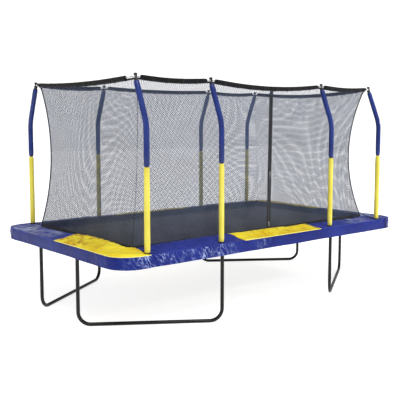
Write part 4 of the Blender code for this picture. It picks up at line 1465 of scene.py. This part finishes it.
def net_head_z(along, side, is_long):
    """Height of the net's top edge under the ring."""
    x, bay = abs(along) * POLE_X, abs(POLE_XS[1])
    if not is_long:
        fraction, sag = (along + 1.0) / 2.0, RING_SAG_LEFT if side < 0 else RING_SAG_RIGHT
    elif x < bay:
        fraction, sag = (x + bay) / (2.0 * bay), RING_SAG_DOOR if side < 0 else RING_SAG
    else:
        fraction, sag = (x - bay) / (POLE_X - bay), RING_SAG
    return ring_height(fraction, sag) - NET_BELOW_RING


def net_point(side, is_long, along, height, outward=0.0):
    """A point of a net wall; along runs -1 to 1 and height 0 to 1."""
    corner_x, corner_y = net_corner(height, (1 if along > 0 else -1) if is_long else side)
    z = NET_FOOT_Z + (net_head_z(along, side, is_long) - NET_FOOT_Z) * height
    foot, top = (NET_FOOT_Y, NET_TOP_Y) if is_long else (NET_FOOT_X, NET_TOP_X)
    corner = corner_y if is_long else corner_x
    plain = foot + (top - foot) * height
    ripple = 0.003 * math.sin(along * 31.0 + 5.0 * height) * (1.0 - height) ** 2
    ripple += 0.003 * math.sin(along * 47.0) * height ** 6
    edge = max(0.0, 1.0 - abs(along) ** 8)
    out = plain + (corner - plain) * abs(along) ** 2.5 + ripple * edge + outward
    # the last stretch turns out to the ring's foam
    reach = (NET_REACH * max(0.0, (height - 0.96) / 0.04) ** 2)
    out += reach
    z += reach * 0.55
    if is_long:
        return Vector((along * (corner_x + reach), side * out, z))
    return Vector((side * out, along * (corner_y + reach), z))


def net_height_at(z, side, is_long, along):
    return (z - NET_FOOT_Z) / (net_head_z(along, side, is_long) - NET_FOOT_Z)


def wall_grid(side, is_long, lows, highs, rows, columns, outward=0.0):
    """Rows of points between two height functions of `along`."""
    verts = []
    for row in range(rows + 1):
        for column in range(columns + 1):
            along = 2.0 * column / columns - 1.0
            low, high = lows(along), highs(along)
            height = low + (high - low) * row / rows
            verts.append(net_point(side, is_long, along, height, outward))
    return verts, grid_faces(rows + 1, columns + 1)


def make_net_wall(name, side, is_long):
    hem = lambda along: net_height_at(HEM_HIGH, side, is_long, along)
    top = lambda along: 1.0
    columns = 150 if is_long else 96
    verts, faces = wall_grid(side, is_long, hem, top, NET_ROWS, columns)
    piece = make_piece(f"net_cloth_{name}", verts, faces, NET_LOOK)
    on_frame(piece, "net_mesh", f"net_{name}")
    make_foot_hem(name, side, is_long, hem, columns)
    make_top_band(name, side, is_long, columns)


def make_foot_hem(name, side, is_long, hem, columns):
    """Solid band that sews the net to the mat's edge."""
    verts, _ = wall_grid(side, is_long, lambda along: 0.0, hem, 6, columns, -0.0006)
    foot = []
    for vert in verts[:columns + 1]:
        x = vert.x * (1.0 - MAT_FOOT_REACH / NET_FOOT_X)
        y = vert.y * (1.0 - MAT_FOOT_REACH / NET_FOOT_Y)
        foot.append(Vector((x, y, MAT_TOP + 0.0026)))
    piece = make_piece(f"net_foot_{name}", foot + verts, grid_faces(8, columns + 1), HEM_LOOK)
    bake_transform(piece)


def make_top_band(name, side, is_long, columns):
    """Sewn casing along the net's head, tied up to the ring."""
    low = lambda along: 1.0 - TOP_BAND / (net_head_z(along, side, is_long) - NET_FOOT_Z)
    verts, faces = wall_grid(side, is_long, low, lambda along: 1.0, 5, columns, 0.0008)
    piece = make_piece(f"net_head_{name}", verts, faces, HEM_LOOK)
    on_frame(piece, "net_mesh")
    outward = Vector((0, side, 0)) if is_long else Vector((side, 0, 0))
    ties = Shape()
    for span_name, start, end, sag in ring_spans():
        if not span_name.startswith(name):
            continue
        room = (end - start).length - 2 * TIE_START
        count = round(room / TIE_PITCH)
        for index in range(count + 1):
            add_tie(ties, span_point(start, end, sag, TIE_START + room * index / count), outward)
    on_frame(ties.piece(f"net_ties_{name}", BLACK_WEBBING, sharp=50), "net_mesh")


def add_tie(shape, ring, outward):
    """A loop of webbing from the net's head over the ring's foam."""
    tail = ring - outward * (RING_FOAM * 0.7) - UP * (RING_FOAM + 0.012)
    loop = [tail]
    for step in range(TIE_STEPS + 1):
        angle = math.pi * (1.25 - 1.55 * step / TIE_STEPS)
        arm = outward * math.cos(angle) + UP * math.sin(angle)
        loop.append(ring + arm * (RING_FOAM + 0.0004))
    loop.append(tail + outward * 0.003)
    add_ribbon(shape, loop, outward.cross(UP), 0.018, 0.0012)


def add_ribbon(shape, path, across, width, thickness):
    """Flat webbing along a path, `across` its width."""
    verts = []
    for point, tangent in zip(path, path_tangents(path)):
        out = across.cross(tangent).normalized()
        for side, lift in ((-0.5, -0.5), (0.5, -0.5), (0.5, 0.5), (-0.5, 0.5)):
            verts.append(point + across * (side * width) + out * (lift * thickness))
    shape.add(verts, ring_faces(len(path), 4))


def make_net_corners():
    """Seam tape down each corner of the net."""
    for face, end, side_x, side_y in CORNERS:
        low = net_height_at(HEM_HIGH, side_x, False, 1.0)
        head = net_head_z(1.0, side_x, False) - NET_FOOT_Z
        # the two cloth edges stand out together along the corner's diagonal
        diagonal = Vector((side_x, side_y, 0.0)).normalized()
        path = []
        for step in range(CORNER_STEPS + 1):
            height = low + (1.0 - low) * step / CORNER_STEPS
            x, y = net_corner(height, side_x)
            point = Vector((side_x * x, side_y * y, NET_FOOT_Z + head * height))
            path.append(point - diagonal * 0.004)
        shape = Shape()
        add_ribbon(shape, path, diagonal, 0.016, 0.0022)
        on_frame(shape.piece(f"net_seam_{face}_{end}", HEM_LOOK), "net_mesh")


# ---- door zip and straps ------------------------------------------------

ZIP_FOOT_Z, ZIP_HEAD_Z = 0.960, 2.610
TAPE_WIDTH = 0.022
TAPE_GAP = 0.013
TAPE_SHEET = 0.0022
TAPE_OUT = 0.0028             # the tapes lie this far outside the net
ZIP_STEPS = 40
TOOTH_PITCH = 0.0041
# (across, along) round a slider's plate
SLIDER_OUTLINE = [(-0.010, -0.006), (-0.009, 0.008), (-0.005, 0.012), (0.005, 0.012),
                  (0.009, 0.008), (0.010, -0.006), (0.006, -0.012), (-0.006, -0.012)]
SLIDER_PLATE = 0.0022
SLIDER_OUT = 0.0044           # inner face of the slider outside the net


def zip_point(z, outward):
    head_z = RING_Z - RING_SAG_DOOR - NET_BELOW_RING
    height = (z - NET_FOOT_Z) / (head_z - NET_FOOT_Z)
    y = NET_FOOT_Y + (NET_TOP_Y - NET_FOOT_Y) * height + outward
    return Vector((ZIP_X, -y, z))


def zip_line(outward):
    """Points up the whole zip."""
    return [zip_point(ZIP_FOOT_Z + (ZIP_HEAD_Z - ZIP_FOOT_Z) * step / ZIP_STEPS, outward)
            for step in range(ZIP_STEPS + 1)]


def make_zip():
    """The door's tapes and coil; returns the zip's direction and the way out of it."""
    axis = (zip_point(ZIP_HEAD_Z, 0.0) - zip_point(ZIP_FOOT_Z, 0.0)).normalized()
    outward = -axis.cross(X_AXIS).normalized()
    make_zip_tapes()
    split = box_of("zip_slider_upper")[0].z
    make_zip_coil("upper", split, ZIP_HEAD_Z, ZIP_COIL, outward)
    make_zip_coil("lower", ZIP_FOOT_Z, split, OPEN_COIL, outward)
    return axis, outward


def make_zip_tapes():
    """Two bound tapes up to the ring's foam, the facing at their head and the flap behind."""
    tapes = Shape()
    head = Vector((ZIP_X, 0.020 - POLE_TIP_Y, RING_Z - RING_SAG_DOOR - RING_FOAM * 0.6))
    for side in (-1, 1):
        centre = X_AXIS * (side * (TAPE_WIDTH + TAPE_GAP) / 2)
        path = [point + centre for point in zip_line(TAPE_OUT) + [head]]
        add_ribbon(tapes, path, X_AXIS, TAPE_WIDTH, TAPE_SHEET)
        binding = [point + X_AXIS * (side * TAPE_WIDTH / 2) for point in path]
        tapes.add(*sweep(binding, 0.0022, 8, X_AXIS))
    facing = [zip_point(ZIP_HEAD_Z - 0.006, 0.0030), head]
    add_ribbon(tapes, facing, X_AXIS, 2 * TAPE_WIDTH + TAPE_GAP, TAPE_SHEET)
    add_ribbon(tapes, zip_line(-0.0015), X_AXIS, TAPE_WIDTH + TAPE_GAP, 0.0012)
    on_frame(tapes.piece("zip_tapes", HEM_LOOK, sharp=50), "zip_tape", "door_zip")


def make_zip_coil(part, low, high, material, outward):
    """The zip's teeth, one strand that sways from side to side."""
    count = round((high - low) / TOOTH_PITCH)
    path = []
    for step in range(count + 1):
        sway = TAPE_GAP * 0.42 * (1 if step % 2 else -1)
        path.append(zip_point(low + (high - low) * step / count, 0.0026) + X_AXIS * sway)
    coil = Shape()
    coil.add(*sweep(path, 0.0014, 5, outward))
    on_frame(coil.piece(f"zip_coil_{part}", material), "zip_tape")


def slider_body(shape, centre, axis, outward):
    """Two plates, the wall between them and the arch that holds the pull."""
    for lift in (0.0, 0.0035):
        verts = []
        for level in (0, 1):
            for across, along in SLIDER_OUTLINE:
                place = centre + X_AXIS * across + axis * along
                verts.append(place + outward * (lift - 0.003 + SLIDER_PLATE * level))
        faces = [(index, (index + 1) % 8, 8 + (index + 1) % 8, 8 + index) for index in range(8)]
        faces += [tuple(reversed(range(8))), tuple(range(8, 16))]
        shape.add(verts, faces)
    shape.add(*box_body(centre, (X_AXIS, axis, outward), (0.004, 0.016, 0.003)))
    arch = [centre + axis * (0.008 * math.cos(angle)) + outward * (0.0025 + 0.0035 * math.sin(angle))
            for angle in (math.pi * step / 8 for step in range(9))]
    shape.add(*sweep(arch, 0.0014, 8, X_AXIS))


def pull_tab(shape, top, low_z, axis, outward):
    """Flat pull that hangs from the slider's arch."""
    length = top.z - low_z
    widths = [(0.0045, 0.0), (0.0062, 0.006), (0.0050, 0.018), (0.0066, length - 0.006),
              (0.0050, length)]
    verts = []
    for width, along in widths:
        for side, lift in ((-1, -0.0011), (1, -0.0011), (1, 0.0011), (-1, 0.0011)):
            verts.append(top - axis * along + X_AXIS * (side * width) + outward * lift)
    faces = grid_faces(len(widths), 4, closed=True)
    faces += [(0, 1, 2, 3), tuple((len(widths) - 1) * 4 + index for index in (3, 2, 1, 0))]
    shape.add(verts, faces)


def make_zip_slider(name, body, axis, outward):
    """Slider body, bridge and pull tab, in the frame's own place."""
    low, high = box_of(name)
    centre = zip_point(high.z - 0.012, SLIDER_OUT + 0.003)
    shape = Shape()
    slider_body(shape, centre, axis, outward)
    pull_tab(shape, centre + outward * 0.0045 + axis * 0.003, low.z + 0.001, axis, outward)
    fasten(shape.piece(f"{name}_and_pull", GREY_PLASTIC, sharp=35), body, "zip_slider", name)


def make_corner_straps():
    """Elastic from each foot corner of the net to its pole, and two straps over the edge."""
    for face, end, side_x, side_y in CORNERS:
        shape = Shape()
        pole_x = side_x * POLE_X
        start = Vector((side_x * (NET_FOOT_X + 0.004), side_y * (NET_FOOT_Y + 0.004), HEM_HIGH))
        finish = Vector((pole_x, side_y * (POLE_Y - SLEEVE_RADIUS), SLEEVE_FOOT_Z + 0.012))
        path = [start.lerp(finish, step / 10) for step in range(11)]
        for step, point in enumerate(path):
            point.z -= 0.010 * math.sin(math.pi * step / 10)
        shape.add(*sweep(path, 0.0045, 8, X_AXIS))
        if side_x != side_y:
            add_edge_strap(shape, side_x, side_y, pole_x)
        on_frame(shape.piece(f"corner_elastic_{face}_{end}", BLACK_WEBBING, sharp=50), "net_mesh")


def add_edge_strap(shape, side_x, side_y, pole_x):
    """Webbing from a pole along the pad, over its edge and down the skirt."""
    top, edge_x = SLEEVE_FOOT_Z + 0.003, pole_x + side_x * 0.125
    first = Vector((pole_x + side_x * 0.03, side_y * (POLE_Y + 0.01), top))
    before_edge, outside = side_y * (PAD_Y - 0.03), side_y * (PAD_Y + 0.007)
    over = [first, first.lerp(Vector((edge_x, before_edge, top)), 0.5),
            Vector((edge_x, before_edge, PAD_TOP + 0.004)),
            Vector((edge_x, side_y * (PAD_Y - 0.004), PAD_TOP + 0.003))]
    for step in range(6):
        drop = PAD_TOP - 0.010 - (PAD_TOP - SKIRT_BOTTOM - 0.012) * step / 5
        over.append(Vector((edge_x, outside, drop)))
    add_ribbon(shape, over, Vector((side_x, 0.0, 0.0)), 0.020, 0.002)


def make_pole_straps():
    """Elastic loops that hold the pads to the poles, each with a short tail."""
    for face, side_y in FACES:
        for number, x in zip(POLE_NUMBERS, POLE_XS):
            shape = Shape()
            centre = Vector((x, side_y * POLE_Y, SLEEVE_FOOT_Z + 0.004))
            ring = circle(centre, X_AXIS, Y_AXIS, SLEEVE_RADIUS - 0.001, 20)
            shape.add(*sweep(ring, 0.0035, 8, closed=True))
            tail = [Vector((x + along, side_y * (POLE_Y + out), SLEEVE_FOOT_Z + lift))
                    for along, out, lift in ((0.028, 0.012, 0.006), (0.050, 0.022, 0.004),
                                             (0.078, 0.034, 0.001))]
            add_ribbon(shape, tail, Vector((0.4, side_y * 0.9, 0)).normalized(), 0.018, 0.002)
            on_frame(shape.piece(f"pad_elastic_{face}_{number}", BLACK_WEBBING, sharp=50),
                     "pad_cover")


# ---- floor, light and camera --------------------------------------------

CAMERA_PLACE = Vector((-5.764, -6.884, 2.254))
CAMERA_YAW = 0.711
CAMERA_PITCH = 0.099
CAMERA_ROLL = 0.003
CAMERA_LENS = 59.68
CAMERA_SHIFT = (-0.0465, -0.0286)
AMBIENT = 0.50
BACKDROP = 1.24
FLOOR_GLOW = 0.80
FLOOR_HALF = 40.0
AREA_SIZE = 0.8


def make_camera():
    data = bpy.data.cameras.new("camera")
    data.lens = CAMERA_LENS
    data.sensor_width = 36.0
    data.shift_x, data.shift_y = CAMERA_SHIFT
    data.clip_end = 100.0
    camera = bpy.data.objects.new("camera", data)
    camera.rotation_mode = "ZXY"
    camera.location = CAMERA_PLACE
    forward = Vector((math.sin(CAMERA_YAW) * math.cos(CAMERA_PITCH),
                      math.cos(CAMERA_YAW) * math.cos(CAMERA_PITCH), -math.sin(CAMERA_PITCH)))
    right = Vector((math.cos(CAMERA_YAW), -math.sin(CAMERA_YAW), 0.0))
    up = right.cross(forward)
    tilted = right * math.cos(CAMERA_ROLL) + up * math.sin(CAMERA_ROLL)
    upright = up * math.cos(CAMERA_ROLL) - right * math.sin(CAMERA_ROLL)
    matrix = camera.matrix_world.to_3x3()
    matrix.col[0], matrix.col[1], matrix.col[2] = tilted, upright, -forward
    camera.rotation_euler = matrix.to_euler("ZXY")
    bpy.context.scene.collection.objects.link(camera)
    bpy.context.scene.camera = camera


def add_light(name, kind, turn, power, colour, place=(0.0, 0.0, 0.0), **settings):
    """A light of the given kind, turned by a quaternion."""
    data = bpy.data.lights.new(name, kind)
    data.energy = power
    data.color = colour
    for key, value in settings.items():
        setattr(data, key, value)
    light = bpy.data.objects.new(name, data)
    light.location = place
    light.rotation_euler = turn.to_euler()
    bpy.context.scene.collection.objects.link(light)


def add_area_light(name, place, target, power, colour):
    turn = (Vector(target) - Vector(place)).to_track_quat("-Z", "Y")
    add_light(name, "AREA", turn, power, colour, place, shape="SQUARE", size=AREA_SIZE)


def add_sun(name, towards, strength, softness, colour):
    turn = Vector(towards).to_track_quat("Z", "Y")
    add_light(name, "SUN", turn, strength, colour, angle=math.radians(softness))


def make_world():
    """White surroundings; the backdrop is brighter than the soft light that it gives."""
    world = bpy.data.worlds.new("studio")
    world.use_nodes = True
    nodes, links = world.node_tree.nodes, world.node_tree.links
    background = nodes["Background"]
    background.inputs["Color"].default_value = (1.0, 1.0, 1.0, 1.0)
    seen = nodes.new("ShaderNodeLightPath").outputs["Is Camera Ray"]
    strength = nodes.new("ShaderNodeMapRange")
    links.new(seen, strength.inputs["Value"])
    strength.inputs["To Min"].default_value = AMBIENT
    strength.inputs["To Max"].default_value = BACKDROP
    links.new(strength.outputs["Result"], background.inputs["Strength"])
    bpy.context.scene.world = world


def make_floor():
    floor = Look("floor_look", Roughness=0.9, Emission_Color=(1.0, 1.0, 1.0, 1.0),
                 Emission_Strength=FLOOR_GLOW, Specular_IOR_Level=0.1)
    shade = floor.noise(0.6, 2.0)
    floor.set("Base Color", floor.ramp(shade, [(0.3, (0.56, 0.56, 0.56)), (0.7, (0.58, 0.58, 0.58))]))
    corners = [(-FLOOR_HALF, -FLOOR_HALF, 0), (FLOOR_HALF, -FLOOR_HALF, 0),
               (FLOOR_HALF, FLOOR_HALF, 0), (-FLOOR_HALF, FLOOR_HALF, 0)]
    make_piece("floor", corners, [(0, 1, 2, 3)], floor.material, smooth=False)


def make_studio():
    make_world()
    make_floor()
    add_sun("key", (-0.18, -0.62, 1.0), 2.0, 30.0, (1.0, 0.995, 0.98))
    add_area_light("fill", (6.0, -7.0, 4.5), (0, 0, 1.0), 250.0, (0.97, 0.98, 1.0))
    add_area_light("strip", (-8.0, -1.0, 3.5), (-1.0, 0, 0.9), 26.0, (1.0, 1.0, 1.0))
    bpy.context.scene.view_settings.view_transform = "Standard"


# ---- everything ---------------------------------------------------------

def main():
    make_camera()
    make_studio()
    for face, end, side_x, side_y in CORNERS:
        make_frame_corner(face, end, side_x, side_y)
        make_frame_rail(face, end, side_x, side_y)
        make_leg(face, end, side_x, side_y)
    for face, side_y in FACES:
        for number in POLE_NUMBERS:
            make_pole(face, number, side_y)
    make_ring()
    make_mat()
    make_springs()
    make_end_pads()
    make_side_pads()
    make_skirts()
    for name, side in FACES + ENDS:
        make_net_wall(name, side, (name, side) in FACES)
    make_net_corners()
    axis, outward = make_zip()
    make_zip_slider("zip_slider_upper", "upper_slider", axis, outward)
    make_zip_slider("zip_slider_lower", "lower_slider", axis, outward)
    make_pole_straps()
    make_corner_straps()


main()
